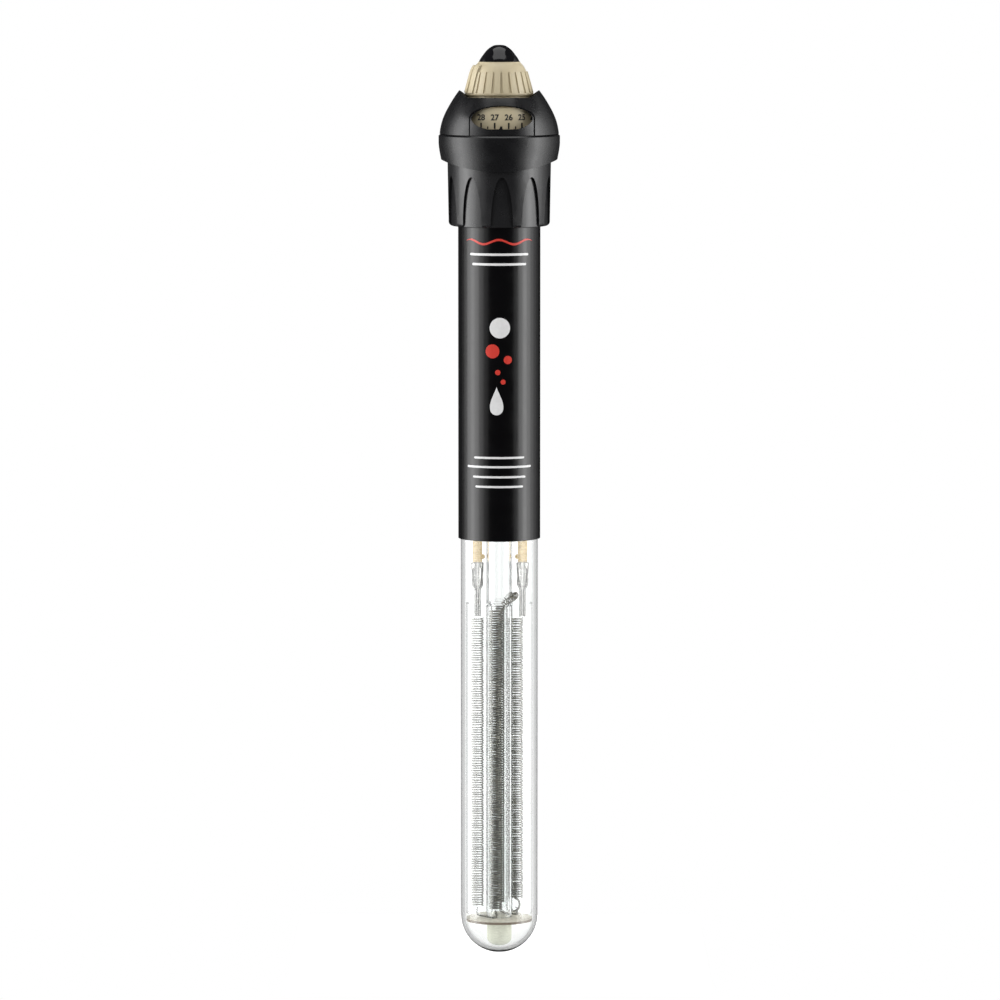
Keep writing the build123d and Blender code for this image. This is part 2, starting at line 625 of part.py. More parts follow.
def make_contact_arm():
    half = ARM_THICKNESS / 2
    level = block((-ARM_HALF_WIDTH, ARM_HALF_WIDTH), (ARM_TIP_Y, PIVOT_Y), (PIVOT_Z - half, PIVOT_Z + half))
    upright = block((-ARM_HALF_WIDTH, ARM_HALF_WIDTH), (PIVOT_Y - half, PIVOT_Y + half), (ARM_LOW_Z, PIVOT_Z))
    eye = Pos(0, PIVOT_Y, PIVOT_Z) * Rot(0, 90, 0) * Cylinder(PIVOT_BORE + ARM_EYE_WALL, 2 * ARM_HALF_WIDTH)
    bore = Pos(0, PIVOT_Y, PIVOT_Z) * Rot(0, 90, 0) * Cylinder(PIVOT_BORE, 4 * ARM_HALF_WIDTH)
    return level + upright + eye - bore


def make_fixed_contact():
    face = PIVOT_Y - ARM_THICKNESS / 2
    return rod_along_y(CONTACT_RADIUS, face - CONTACT_HEIGHT, face, 0, CONTACT_Z)


def make_bimetal_strip():
    half = STRIP_THICKNESS / 2
    body = block((-STRIP_HALF_WIDTH, STRIP_HALF_WIDTH), (STRIP_Y - half, STRIP_Y + half),
                 (STRIP_BOTTOM, STRIP_TOP))
    for offset in (-RIVET_SPREAD, RIVET_SPREAD):
        body -= rod_along_y(RIVET_RADIUS + STRIP_RIVET_GAP, STRIP_Y - OVERRUN, STRIP_Y + OVERRUN,
                            offset, STRIP_ROOT_Z)
    return body


def make_moving_contact():
    face = STRIP_Y + STRIP_THICKNESS / 2
    return rod_along_y(CONTACT_RADIUS, face, face + CONTACT_HEIGHT, 0, CONTACT_Z)


def make_armature():
    face = STRIP_Y + STRIP_THICKNESS / 2
    half = MAGNET_LENGTH / 2
    return block((-STRIP_HALF_WIDTH, STRIP_HALF_WIDTH), (face, face + ARMATURE_THICKNESS),
                 (MAGNET_Z - half, MAGNET_Z + half))


def make_snap_magnet():
    half = MAGNET_LENGTH / 2
    return block((-MAGNET_HALF_WIDTH, MAGNET_HALF_WIDTH), (MAGNET_FRONT_Y, BACK_FRONT_Y),
                 (MAGNET_Z - half, MAGNET_Z + half))


def make_bimetal_bracket():
    slot_half = STRIP_THICKNESS / 2 + BRACKET_CLEARANCE
    low = STRIP_ROOT_Z - BRACKET_HEIGHT / 2
    high = STRIP_ROOT_Z + BRACKET_HEIGHT / 2
    front = STRIP_Y - slot_half - BRACKET_SHEET
    slot_half_width = STRIP_HALF_WIDTH + BRACKET_SLOT_MARGIN
    body = block((-BRACKET_HALF_WIDTH, BRACKET_HALF_WIDTH), (front, BACK_FRONT_Y), (low, high))
    body -= block((-slot_half_width, slot_half_width), (STRIP_Y - slot_half, STRIP_Y + slot_half),
                  (low - OVERRUN, high + OVERRUN))
    for offset in (-RIVET_SPREAD, RIVET_SPREAD):
        body -= rod_along_y(RIVET_RADIUS + PIN_GAP, front - OVERRUN, BACK_REAR_Y, offset, STRIP_ROOT_Z)
    return body


def make_bimetal_rivets():
    front = STRIP_Y - STRIP_THICKNESS / 2 - BRACKET_CLEARANCE - BRACKET_SHEET
    head_front = front - RIVET_HEAD_HEIGHT
    rivets = []
    for offset in (-RIVET_SPREAD, RIVET_SPREAD):
        shank = rod_along_y(RIVET_RADIUS, front - RIVET_HEAD_HEIGHT / 2, BACK_FRONT_Y - RIVET_END_GAP,
                            offset, STRIP_ROOT_Z)
        head = rod_along_y(RIVET_HEAD_RADIUS, head_front, front - PRESS_GAP, offset, STRIP_ROOT_Z)
        rivets.append(shank + head)
    return Compound(children=rivets)


def make_noise_capacitor():
    width, depth, height = CAPACITOR_SIZE
    body = Pos(0, CAPACITOR_Y, LOWER_DISC_TOP + CAPACITOR_GAP + height / 2) * Box(width, depth, height)
    return fillet(body.edges().filter_by(Axis.Z), CAPACITOR_EDGE_ROUND)


def make_terminal(x):
    half = TERMINAL_WIDTH / 2
    blade = block((x - half, x + half), (-TERMINAL_THICKNESS / 2, TERMINAL_THICKNESS / 2),
                  (TERMINAL_BOTTOM, TERMINAL_TOP))
    inward = -math.copysign(half + TERMINAL_STUD_OVERHANG, x)
    stud = rod_along_y(TERMINAL_STUD_RADIUS, -TERMINAL_STUD_HALF_LENGTH, TERMINAL_STUD_HALF_LENGTH,
                       x + inward, TERMINAL_STUD_Z)
    return blade + stud


def crimp_barrel(x, radius, bottom, top):
    """Folded barrel with a seam that faces the front."""
    height = top - bottom
    shell = post(radius, bottom, top) - post(radius - CRIMP_SHEET, bottom - OVERRUN, top + OVERRUN)
    shell -= Pos(0, -radius, bottom + height / 2) * Box(CRIMP_SEAM, radius, height + 2 * OVERRUN)
    return Pos(x, 0, 0) * shell


def make_crimp(x):
    back_y = CRIMP_RADIUS - CRIMP_SHEET
    upper = crimp_barrel(x, CRIMP_RADIUS, CRIMP_TOP - CRIMP_UPPER_HEIGHT, CRIMP_TOP)
    lower = crimp_barrel(x, CRIMP_RADIUS - CRIMP_NARROWING, CRIMP_BOTTOM + CRIMP_LOWER_START,
                         CRIMP_BOTTOM + CRIMP_LOWER_END)
    spine = block((x - CRIMP_SPINE_HALF_WIDTH, x + CRIMP_SPINE_HALF_WIDTH),
                  (back_y - CRIMP_SPINE_THICKNESS, back_y + CRIMP_WELD), (CRIMP_BOTTOM, CRIMP_TOP))
    return upper + lower + spine


def make_lead_strip(x):
    half = STRIP_LEAD_WIDTH / 2
    front = CRIMP_RADIUS - CRIMP_SHEET - CRIMP_SPINE_THICKNESS - STRIP_LEAD_THICKNESS
    return block((x - half, x + half), (front, front + STRIP_LEAD_THICKNESS),
                 (STRIP_LEAD_BOTTOM, CRIMP_BOTTOM + STRIP_LEAD_OVERLAP))


def make_element_tube(place):
    x, y = place["tube"]
    tube = post(ELEMENT_RADIUS, ELEMENT_BOTTOM, ELEMENT_TOP, x, y)
    bore_radius = ELEMENT_RADIUS - ELEMENT_WALL
    return tube - post(bore_radius, ELEMENT_BOTTOM - OVERRUN, ELEMENT_TOP + OVERRUN, x, y)


def make_heating_coil(place):
    x, y = place["coil"]
    coil = post(COIL_RADIUS, COIL_BOTTOM, place["top"], x, y)
    bore_radius = COIL_RADIUS - COIL_WALL
    return coil - post(bore_radius, COIL_BOTTOM - OVERRUN, place["top"] + OVERRUN, x, y)


def make_spacer_tube():
    return ring(SPACER_RADIUS - SPACER_WALL, SPACER_RADIUS, SPACER_BOTTOM, SPACER_TOP)


def make_top_link():
    front_x, front_y = ELEMENT_LAYOUT["front"]["coil"]
    back_x, back_y = ELEMENT_LAYOUT["back"]["coil"]
    end_z = LONG_COIL_TOP + LINK_END_GAP
    route = [
        (front_x, front_y, end_z), (front_x, front_y, TOP_LINK_FRONT_Z), *TOP_LINK_CROSSING,
        (back_x, back_y, TOP_LINK_BACK_Z), (back_x, back_y, end_z)]
    return wire_along(route, LINK_RADIUS, TOP_LINK_BEND)


def make_bottom_link(first, second):
    """Wire that joins the lower ends of two coils under their tubes."""
    ax, ay = ELEMENT_LAYOUT[first]["coil"]
    bx, by = ELEMENT_LAYOUT[second]["coil"]
    low = BASE_DISC_TOP + LINK_RADIUS + BOTTOM_LINK_CLEARANCE
    end_z = COIL_BOTTOM - LINK_END_GAP
    route = [(ax, ay, end_z), (ax, ay, low), (bx, by, low), (bx, by, end_z)]
    return wire_along(route, LINK_RADIUS, BOTTOM_LINK_BEND)


def make_base_disc():
    return post(BASE_DISC_RADIUS, BASE_DISC_BOTTOM, BASE_DISC_TOP)


def make_bottom_pad():
    body = post(PAD_RADIUS, PAD_BOTTOM, PAD_TOP)
    return fillet(body.edges().group_by(Axis.Z)[0], PAD_EDGE_ROUND)


def make_neutral_wire():
    x, y = WIRE_COLUMNS["neutral"]
    terminal_x = LEAD_PLACES["right"]
    behind = TERMINAL_THICKNESS / 2 + WIRE_RADIUS + PRESS_GAP
    route = [
        (terminal_x, behind, LOWER_DISC_TOP + WIRE_END_GAP), (terminal_x, behind, NEUTRAL_TURN_START_Z),
        (x, y, NEUTRAL_TURN_END_Z), (x, y, GLAND_Z), (GLAND_WIRE_X, GLAND_WIRE_Y, GLAND_Z)]
    return wire_along(route, WIRE_RADIUS, WIRE_BEND)


def make_live_wire():
    x, y = WIRE_COLUMNS["live"]
    route = [
        (*LIVE_START, STRIP_ROOT_Z), (x, y, STRIP_ROOT_Z + LIVE_RISE), (x, y, GLAND_Z),
        (-GLAND_WIRE_X, GLAND_WIRE_Y, GLAND_Z)]
    return wire_along(route, WIRE_RADIUS, [WIRE_SHARP_BEND, WIRE_BEND])


def make_switch_lead():
    x, y = WIRE_COLUMNS["switch"]
    terminal_x = LEAD_PLACES["left"]
    behind = TERMINAL_THICKNESS / 2 + WIRE_RADIUS + PRESS_GAP
    route = [
        (terminal_x, behind, LOWER_DISC_TOP + WIRE_END_GAP), (terminal_x, behind, SWITCH_TURN_START_Z),
        (x, y, SWITCH_TURN_END_Z), (x, y, SWITCH_LEAD_TOP_Z), SWITCH_LEAD_END]
    return wire_along(route, WIRE_RADIUS, [WIRE_BEND, WIRE_BEND, WIRE_SHARP_BEND])


parts["glass_tube"] = make_glass_tube()
parts["label_sleeve"] = make_label_sleeve()
parts["clamp_nut"] = make_clamp_nut()
parts["tube_seal"] = make_tube_seal()
parts["head_bowl"] = make_head_bowl()
parts["dome_cover"] = make_dome_cover()
parts["bearing_plate"] = make_bearing_plate()
parts["plate_gasket"] = make_plate_gasket()
parts["spindle_oring"] = make_spindle_oring()
parts["cord_gland"] = make_cord_gland()
parts["knob"] = make_knob()
parts["dial_ring"] = make_dial_ring()
parts["knob_cap"] = make_knob_cap()
parts["knob_screw"] = make_knob_screw()
parts["spindle"] = make_spindle()
parts["adjust_screw"] = make_adjust_screw()
parts["threaded_bush"] = make_threaded_bush()
parts["thermostat_carrier"] = make_carrier()
parts["arm_pivot_pin"] = make_arm_pivot_pin()
parts["contact_arm"] = make_contact_arm()
parts["fixed_contact"] = make_fixed_contact()
parts["bimetal_strip"] = make_bimetal_strip()
parts["moving_contact"] = make_moving_contact()
parts["armature"] = make_armature()
parts["snap_magnet"] = make_snap_magnet()
parts["bimetal_bracket"] = make_bimetal_bracket()
parts["bimetal_rivets"] = make_bimetal_rivets()
parts["noise_capacitor"] = make_noise_capacitor()
for side, lead_x in LEAD_PLACES.items():
    parts["terminal_" + side] = make_terminal(lead_x)
    parts["crimp_" + side] = make_crimp(lead_x)
    parts["lead_strip_" + side] = make_lead_strip(lead_x)
for name, place in ELEMENT_LAYOUT.items():
    parts["element_tube_" + name] = make_element_tube(place)
    parts["heating_coil_" + name] = make_heating_coil(place)
parts["spacer_tube"] = make_spacer_tube()
parts["top_link"] = make_top_link()
parts["bottom_link_left"] = make_bottom_link("left", "front")
parts["bottom_link_right"] = make_bottom_link("right", "back")
parts["base_disc"] = make_base_disc()
parts["bottom_pad"] = make_bottom_pad()
parts["neutral_wire"] = make_neutral_wire()
parts["live_wire"] = make_live_wire()
parts["switch_lead"] = make_switch_lead()

os.makedirs("parts", exist_ok=True)
for name, shape in parts.items():
    export_step(shape, f"parts/{name}.step")
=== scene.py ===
import json
import math
import random

import bmesh
import bpy
from mathutils import Matrix, Vector


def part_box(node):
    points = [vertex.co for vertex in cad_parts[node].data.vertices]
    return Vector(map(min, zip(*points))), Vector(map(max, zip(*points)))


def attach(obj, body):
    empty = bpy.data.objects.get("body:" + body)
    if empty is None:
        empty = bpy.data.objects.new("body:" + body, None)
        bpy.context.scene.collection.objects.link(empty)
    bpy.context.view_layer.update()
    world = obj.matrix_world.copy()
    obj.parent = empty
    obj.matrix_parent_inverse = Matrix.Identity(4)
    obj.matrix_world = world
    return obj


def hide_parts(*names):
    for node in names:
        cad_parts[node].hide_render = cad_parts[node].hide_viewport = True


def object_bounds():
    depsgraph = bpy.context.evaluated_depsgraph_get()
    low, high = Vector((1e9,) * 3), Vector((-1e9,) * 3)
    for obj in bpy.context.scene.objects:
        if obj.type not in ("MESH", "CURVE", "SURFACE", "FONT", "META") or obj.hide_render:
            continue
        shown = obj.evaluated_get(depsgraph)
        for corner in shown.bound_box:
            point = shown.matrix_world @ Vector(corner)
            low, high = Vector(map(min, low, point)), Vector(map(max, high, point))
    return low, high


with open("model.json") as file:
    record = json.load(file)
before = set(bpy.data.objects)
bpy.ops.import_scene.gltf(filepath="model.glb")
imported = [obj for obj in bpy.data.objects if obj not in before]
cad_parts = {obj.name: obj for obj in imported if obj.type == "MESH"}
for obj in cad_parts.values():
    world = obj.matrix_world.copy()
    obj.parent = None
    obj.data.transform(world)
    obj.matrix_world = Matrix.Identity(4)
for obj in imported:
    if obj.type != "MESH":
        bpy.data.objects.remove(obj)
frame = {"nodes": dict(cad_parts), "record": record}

MM = 0.001
nodes = frame["nodes"]
cad_low, cad_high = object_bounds()

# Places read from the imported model
glass_low, glass_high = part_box("glass_tube")
dial_low, dial_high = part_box("dial_ring")
GLASS_RADIUS = glass_high.x
SLEEVE_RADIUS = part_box("label_sleeve")[1].x
DIAL_RADIUS = dial_high.x
OBJECT_MIDDLE = (cad_low.z + cad_high.z) / 2


# ---------------------------------------------------------------- mesh helpers

POLE_RADIUS = 1e-7  # a ring narrower than this is one point on the axis
SHARP_ANGLE = 35


def link_object(name, mesh):
    """Object for a mesh, in the scene's own collection."""
    piece = bpy.data.objects.new(name, mesh)
    bpy.context.scene.collection.objects.link(piece)
    return piece


def new_object(name, vertices, faces, sharp_angle=None):
    """Smooth mesh object with its normals outwards. Edges past the angle stay sharp."""
    mesh = bpy.data.meshes.new(name)
    mesh.from_pydata(vertices, [], faces)
    mesh.validate()
    bm = bmesh.new()
    bm.from_mesh(mesh)
    bmesh.ops.recalc_face_normals(bm, faces=bm.faces)
    bm.to_mesh(mesh)
    bm.free()
    for polygon in mesh.polygons:
        polygon.use_smooth = True
    if sharp_angle is not None:
        mesh.set_sharp_from_angle(angle=math.radians(sharp_angle))
    return link_object(name, mesh)


def finish_piece(piece, material, body, replaced=()):
    """Gives a piece its material, its body and the CAD nodes it stands for."""
    piece.data.materials.clear()
    piece.data.materials.append(material)
    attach(piece, body)
    if replaced:
        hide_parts(*replaced)


def middle_of(node):
    """Middle of a CAD node seen from above."""
    low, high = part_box(node)
    return (low.x + high.x) / 2, (low.y + high.y) / 2


def lathe(name, profile, segments, centre=(0.0, 0.0)):
    """Closed solid of revolution from a closed loop of (radius, height) points. Radius 0 makes a pole."""
    vertices, faces, rings = [], [], []
    for radius, height in profile:
        if radius < POLE_RADIUS:
            rings.append([len(vertices)])
            vertices.append((*centre, height))
            continue
        ring = []
        for step in range(segments):
            angle = 2 * math.pi * step / segments
            ring.append(len(vertices))
            x = centre[0] + radius * math.cos(angle)
            y = centre[1] + radius * math.sin(angle)
            vertices.append((x, y, height))
        rings.append(ring)
    for lower, upper in zip(rings, rings[1:] + rings[:1]):
        if len(lower) == 1 and len(upper) == 1:
            continue
        for step in range(segments):
            after = (step + 1) % segments
            if len(lower) == 1:
                faces.append((lower[0], upper[after], upper[step]))
            elif len(upper) == 1:
                faces.append((lower[step], lower[after], upper[0]))
            else:
                faces.append((lower[step], lower[after], upper[after], upper[step]))
    return new_object(name, vertices, faces, SHARP_ANGLE)


def arc(centre, radius, start, end, steps):
    """Points on a circle arc, as (radius, height) pairs. Angles are in degrees from the outward direction."""
    points = []
    for step in range(steps + 1):
        angle = math.radians(start + (end - start) * step / steps)
        points.append((centre[0] + radius * math.cos(angle), centre[1] + radius * math.sin(angle)))
    return points


def frames_along(path):
    """Two directions square to the path at each of its points, without needless twist."""
    side = (path[1] - path[0]).normalized().orthogonal().normalized()
    last = len(path) - 1
    for index in range(last + 1):
        tangent = (path[min(index + 1, last)] - path[max(index - 1, 0)]).normalized()
        side = (side - tangent * side.dot(tangent)).normalized()
        yield side, tangent.cross(side)


def tube_along(name, path, radius, sides=6):
    """Round wire along a dense list of points, closed at both ends."""
    vertices, faces = [], []
    for place, (side, other) in zip(path, frames_along(path)):
        for step in range(sides):
            angle = 2 * math.pi * step / sides
            vertices.append(place + (side * math.cos(angle) + other * math.sin(angle)) * radius)
    for low in range(0, len(vertices) - sides, sides):
        high = low + sides
        for step in range(sides):
            after = (step + 1) % sides
            faces.append((low + step, low + after, high + after, high + step))
    faces.append(tuple(range(sides))[::-1])
    faces.append(tuple(range(len(vertices) - sides, len(vertices))))
    return new_object(name, vertices, faces)


def smooth_path(corners, steps):
    """Catmull-Rom curve through the corners."""
    places = [Vector(c) for c in corners]
    places = [2 * places[0] - places[1]] + places + [2 * places[-1] - places[-2]]
    path = []
    for index in range(1, len(places) - 2):
        a, b, c, d = places[index - 1:index + 3]
        for step in range(steps):
            t = step / steps
            path.append(0.5 * (2 * b + (c - a) * t + (2 * a - 5 * b + 4 * c - d) * t * t
                               + (3 * b - a - 3 * c + d) * t ** 3))
    path.append(places[-2])
    return path


def wound_along(corners, radius, pitch, steps):
    """Loose coil whose middle follows a curve."""
    path = smooth_path(corners, steps)
    points = []
    length = 0.0
    for index, (side, other) in enumerate(frames_along(path)):
        length += (path[index] - path[max(index - 1, 0)]).length
        angle = 2 * math.pi * length / pitch
        points.append(path[index] + (side * math.cos(angle) + other * math.sin(angle)) * radius)
    return points


def between(first, second, share):
    return first + (second - first) * share


# ---------------------------------------------------------------- node helpers

# How a pattern is squeezed along x, y and z
ALONG_Z = (1, 1, 12)
ALONG_X = (12, 1, 1)
EVEN = (1, 1, 1)


class NodeTree:
    """A node tree, with short calls for sums and ranges."""

    def __init__(self, tree):
        self.tree = tree

    def add(self, kind):
        return self.tree.nodes.new(kind)

    def link(self, start, end):
        self.tree.links.new(start, end)

    def feed(self, socket, value):
        """Sets a socket to a number, or links an output to it."""
        if isinstance(value, (int, float)):
            socket.default_value = value
        else:
            self.link(value, socket)

    def math(self, operation, first, second=0.0):
        node = self.add("ShaderNodeMath")
        node.operation = operation
        self.feed(node.inputs[0], first)
        self.feed(node.inputs[1], second)
        return node.outputs["Value"]

    def ramp(self, value, low, high, from_low=0.3, from_high=0.7):
        """Value mapped onto another range, and kept inside it."""
        node = self.add("ShaderNodeMapRange")
        node.inputs["From Min"].default_value = from_low
        node.inputs["From Max"].default_value = from_high
        node.inputs["To Min"].default_value = low
        node.inputs["To Max"].default_value = high
        self.link(value, node.inputs["Value"])
        return node.outputs["Result"]

    def axis_of(self, vector, axis):
        parts = self.add("ShaderNodeSeparateXYZ")
        self.link(vector, parts.inputs["Vector"])
        return parts.outputs[axis]


class Finish(NodeTree):
    """A material's node tree, with short calls for what the materials here use."""

    def __init__(self, name):
        self.material = bpy.data.materials.new(name)
        self.material.use_nodes = True
        super().__init__(self.material.node_tree)
        self.shader = self.tree.nodes["Principled BSDF"]
        self.coordinates = self.add("ShaderNodeTexCoord")

    def texture(self, kind, scale, stretch):
        """Texture on object coordinates, stretched along each axis."""
        mapping = self.add("ShaderNodeMapping")
        mapping.inputs["Scale"].default_value = stretch
        self.link(self.coordinates.outputs["Object"], mapping.inputs["Vector"])
        texture = self.add(kind)
        texture.inputs["Scale"].default_value = scale
        self.link(mapping.outputs["Vector"], texture.inputs["Vector"])
        return texture

    def noise(self, scale, detail=4.0, stretch=EVEN):
        texture = self.texture("ShaderNodeTexNoise", scale, stretch)
        texture.inputs["Detail"].default_value = detail
        texture.inputs["Roughness"].default_value = 0.55
        return texture.outputs["Fac"]

    def cells(self, scale):
        return self.texture("ShaderNodeTexVoronoi", scale, EVEN).outputs["Distance"]

    def facing(self, axis, low, high):
        """0 to 1 as the surface turns to face along an axis of the object."""
        part = self.axis_of(self.coordinates.outputs["Normal"], axis)
        return self.ramp(self.math("ABSOLUTE", part), 0.0, 1.0, low, high)

    def mixed(self, value, first, second):
        """Colour that goes from the first to the second with the value."""
        node = self.add("ShaderNodeMix")
        node.data_type = "RGBA"
        self.link(value, node.inputs["Factor"])
        for socket, colour in ((node.inputs["A"], first), (node.inputs["B"], second)):
            if isinstance(colour, tuple):
                socket.default_value = (*colour, 1)
            else:
                self.link(colour, socket)
        return node.outputs["Result"]

    def colour(self, value):
        self.link(value, self.shader.inputs["Base Color"])

    def roughness(self, value, low, high):
        self.link(self.ramp(value, low, high), self.shader.inputs["Roughness"])

    def bump(self, height, strength, distance, normal=None):
        node = self.add("ShaderNodeBump")
        node.inputs["Strength"].default_value = strength
        node.inputs["Distance"].default_value = distance
        self.link(height, node.inputs["Height"])
        if normal is not None:
            self.link(normal, node.inputs["Normal"])
        return node.outputs["Normal"]

    def relief(self, height, strength, distance, normal=None):
        self.link(self.bump(height, strength, distance, normal), self.shader.inputs["Normal"])

    def set(self, **values):
        for name, value in values.items():
            self.shader.inputs[name.replace("_", " ")].default_value = value


# ---------------------------------------------------------------- materials

# How many times each pattern repeats in a metre
COLOUR_DRIFT = 90.0
GLOSS_DRIFT = 260.0
MOULD_WAVES = 45.0
DRAWN_STREAKS = 500.0
GLASS_WAVES = 55.0
MICA_FLAKES = 700.0
FELT_FIBRES = 900.0

GLASS_SHADOW = (0.93, 0.95, 0.94, 1)


def moulded(name, dark, light, rough, grain=1400.0, grain_depth=0.02, gloss=0.5):
    """Moulded plastic: fine spark texture, slow colour drift and uneven gloss."""
    f = Finish(name)
    f.colour(f.mixed(f.ramp(f.noise(COLOUR_DRIFT), 0.0, 1.0), dark, light))
    f.roughness(f.noise(GLOSS_DRIFT), *rough)
    fine = f.bump(f.noise(grain, detail=2.0), 0.5, grain_depth * MM)
    f.relief(f.noise(MOULD_WAVES), 0.15, 0.08 * MM, fine)
    f.set(Specular_IOR_Level=gloss)
    return f.material


def metal(name, dark, light, rough, brushed=ALONG_Z, scale=DRAWN_STREAKS):
    """Rolled or turned metal: drawn streaks in colour, gloss and bump."""
    f = Finish(name)
    streaks = f.noise(scale, detail=3.0, stretch=brushed)
    f.colour(f.mixed(f.ramp(streaks, 0.0, 1.0), dark, light))
    f.roughness(streaks, *rough)
    f.relief(streaks, 0.3, 0.02 * MM)
    f.set(Metallic=1.0)
    return f.material


def tinned_sheet(name):
    """Tinned sheet: bright on its faces, with painted shade on its folds and cut edges where they turn away
    from the front and back.
    """
    f = Finish(name)
    streaks = f.noise(DRAWN_STREAKS, detail=3.0, stretch=ALONG_Z)
    share = f.ramp(streaks, 0.0, 1.0)
    faces = f.mixed(share, (0.70, 0.69, 0.66), (0.90, 0.89, 0.86))
    # Painted shade: folds and cut edges are near black where the sheet turns away from the front and back
    folds_painted_shade = f.mixed(share, (0.012, 0.011, 0.009), (0.035, 0.032, 0.026))
    f.colour(f.mixed(f.facing("Y", 0.70, 0.97), folds_painted_shade, faces))
    f.roughness(streaks, 0.16, 0.30)
    f.relief(f.noise(GLOSS_DRIFT, detail=2.0), 0.5, 0.10 * MM)
    f.set(Metallic=1.0)
    return f.material


def clear_glass(name, tint, ior):
    """Drawn glass with faint waves. Lamps shine through it onto what is inside."""
    f = Finish(name)
    f.set(Transmission_Weight=1.0, IOR=ior)
    f.colour(f.mixed(f.ramp(f.noise(40.0), 0.0, 1.0), tint, (1.0, 1.0, 1.0)))
    f.roughness(f.noise(120.0), 0.0, 0.015)
    f.relief(f.noise(GLASS_WAVES, detail=1.0, stretch=(1, 1, 0.15)), 0.12, 0.05 * MM)
    path = f.add("ShaderNodeLightPath")
    clear = f.add("ShaderNodeBsdfTransparent")
    clear.inputs["Color"].default_value = GLASS_SHADOW
    mix = f.add("ShaderNodeMixShader")
    f.link(path.outputs["Is Shadow Ray"], mix.inputs["Fac"])
    f.link(f.shader.outputs["BSDF"], mix.inputs[1])
    f.link(clear.outputs["BSDF"], mix.inputs[2])
    f.link(mix.outputs["Shader"], f.tree.nodes["Material Output"].inputs["Surface"])
    return f.material


def mica_board(name):
    """Mica board: layered flakes on its faces, darker brown on its edges, where the surface turns away from
    up and down.
    """
    f = Finish(name)
    flakes = f.cells(MICA_FLAKES)
    faces = f.mixed(f.ramp(flakes, 0.0, 1.0), (0.42, 0.37, 0.30), (0.64, 0.60, 0.52))
    edge = f.mixed(flakes, (0.10, 0.07, 0.045), (0.17, 0.13, 0.09))
    f.colour(f.mixed(f.facing("Z", 0.3, 0.6), edge, faces))
    f.roughness(flakes, 0.35, 0.7)
    f.relief(flakes, 0.4, 0.05 * MM)
    return f.material


def felt(name):
    """Pressed glass fibre."""
    f = Finish(name)
    fibres = f.noise(FELT_FIBRES, detail=6.0, stretch=(1, 1, 4))
    f.colour(f.mixed(f.ramp(fibres, 0.0, 1.0), (0.52, 0.53, 0.44), (0.68, 0.69, 0.59)))
    f.roughness(fibres, 0.7, 0.95)
    f.relief(fibres, 0.8, 0.15 * MM)
    return f.material


def printed_ink(name, colour):
    """Screen-printed ink, a little uneven."""
    f = Finish(name)
    thin = tuple(0.9 * c for c in colour)
    f.colour(f.mixed(f.ramp(f.noise(600.0), 0.0, 1.0), thin, colour))
    f.roughness(f.noise(500.0), 0.28, 0.4)
    f.relief(f.noise(1800.0), 0.2, 0.01 * MM)
    return f.material


INK_RED = printed_ink("ink_red", (0.66, 0.05, 0.035))
INK_WHITE = printed_ink("ink_white", (0.80, 0.80, 0.80))
INK_BLACK = printed_ink("ink_black", (0.012, 0.012, 0.012))
NUT_PLASTIC = moulded("nut_plastic", (0.010, 0.010, 0.011), (0.015, 0.015, 0.016), (0.20, 0.28), gloss=0.6)

SLOT_MATERIALS = {
    "borosilicate_glass": clear_glass("tube_glass", (0.975, 0.99, 0.985), 1.47),
    "sleeve_print": moulded(
        "sleeve_gloss", (0.0012, 0.0011, 0.0014), (0.002, 0.0018, 0.0024), (0.16, 0.24), 900.0, 0.004),
    "black_plastic": moulded("black_plastic", (0.005, 0.005, 0.0055), (0.008, 0.008, 0.009), (0.22, 0.32)),
    "black_gloss": moulded(
        "black_gloss", (0.004, 0.004, 0.005), (0.007, 0.007, 0.008), (0.06, 0.14), grain_depth=0.002),
    "cream_plastic": moulded("cream_plastic", (0.50, 0.43, 0.285), (0.56, 0.485, 0.33), (0.34, 0.46)),
    "seal_rubber": moulded(
        "seal_rubber", (0.012, 0.012, 0.012), (0.025, 0.025, 0.025), (0.6, 0.8), 700.0, 0.05),
    "steel": metal("steel", (0.50, 0.50, 0.50), (0.68, 0.68, 0.68), (0.25, 0.42)),
    "brass": metal("brass", (0.60, 0.42, 0.16), (0.80, 0.61, 0.29), (0.20, 0.36)),
    "contact_silver": metal("contact_silver", (0.80, 0.80, 0.80), (0.92, 0.92, 0.92), (0.1, 0.2)),
    "tinned_metal": tinned_sheet("tinned_metal"),
    "resistance_wire": metal(
        "resistance_wire", (0.10, 0.095, 0.078), (0.24, 0.23, 0.19), (0.35, 0.55), EVEN, 900.0),
    "bimetal": metal("bimetal", (0.45, 0.45, 0.46), (0.60, 0.60, 0.61), (0.28, 0.4), ALONG_X),
    "magnet": moulded("magnet", (0.03, 0.03, 0.03), (0.07, 0.07, 0.07), (0.45, 0.65), 500.0, 0.06),
    "carrier_plastic": moulded("carrier_plastic", (0.16, 0.07, 0.03), (0.24, 0.11, 0.05), (0.35, 0.5)),
    "capacitor_case": moulded("capacitor_case", (0.55, 0.36, 0.05), (0.66, 0.45, 0.09), (0.2, 0.3)),
    "mica": mica_board("mica_board"),
    "glass_fibre": felt("glass_fibre"),
    "live_insulation": moulded("live_insulation", (0.16, 0.05, 0.02), (0.22, 0.08, 0.03), (0.4, 0.55)),
    "neutral_insulation": moulded("neutral_insulation", (0.02, 0.06, 0.24), (0.03, 0.09, 0.32), (0.4, 0.55)),
}


def slot_piece(piece, slot_name, replaced=()):
    """Finishes a piece of the housing with the material of its slot."""
    finish_piece(piece, SLOT_MATERIALS[slot_name], "housing", replaced)


def dress_cad_nodes():
    """Every CAD node gets the finish of its slot. The nut has a slightly glossier one of its own."""
    for entry in frame["record"]["subparts"]:
        mesh = nodes[entry["node"]].data
        mesh.materials.clear()
        mesh.materials.append(SLOT_MATERIALS[entry["material_slot"]])
    nodes["clamp_nut"].data.materials[0] = NUT_PLASTIC


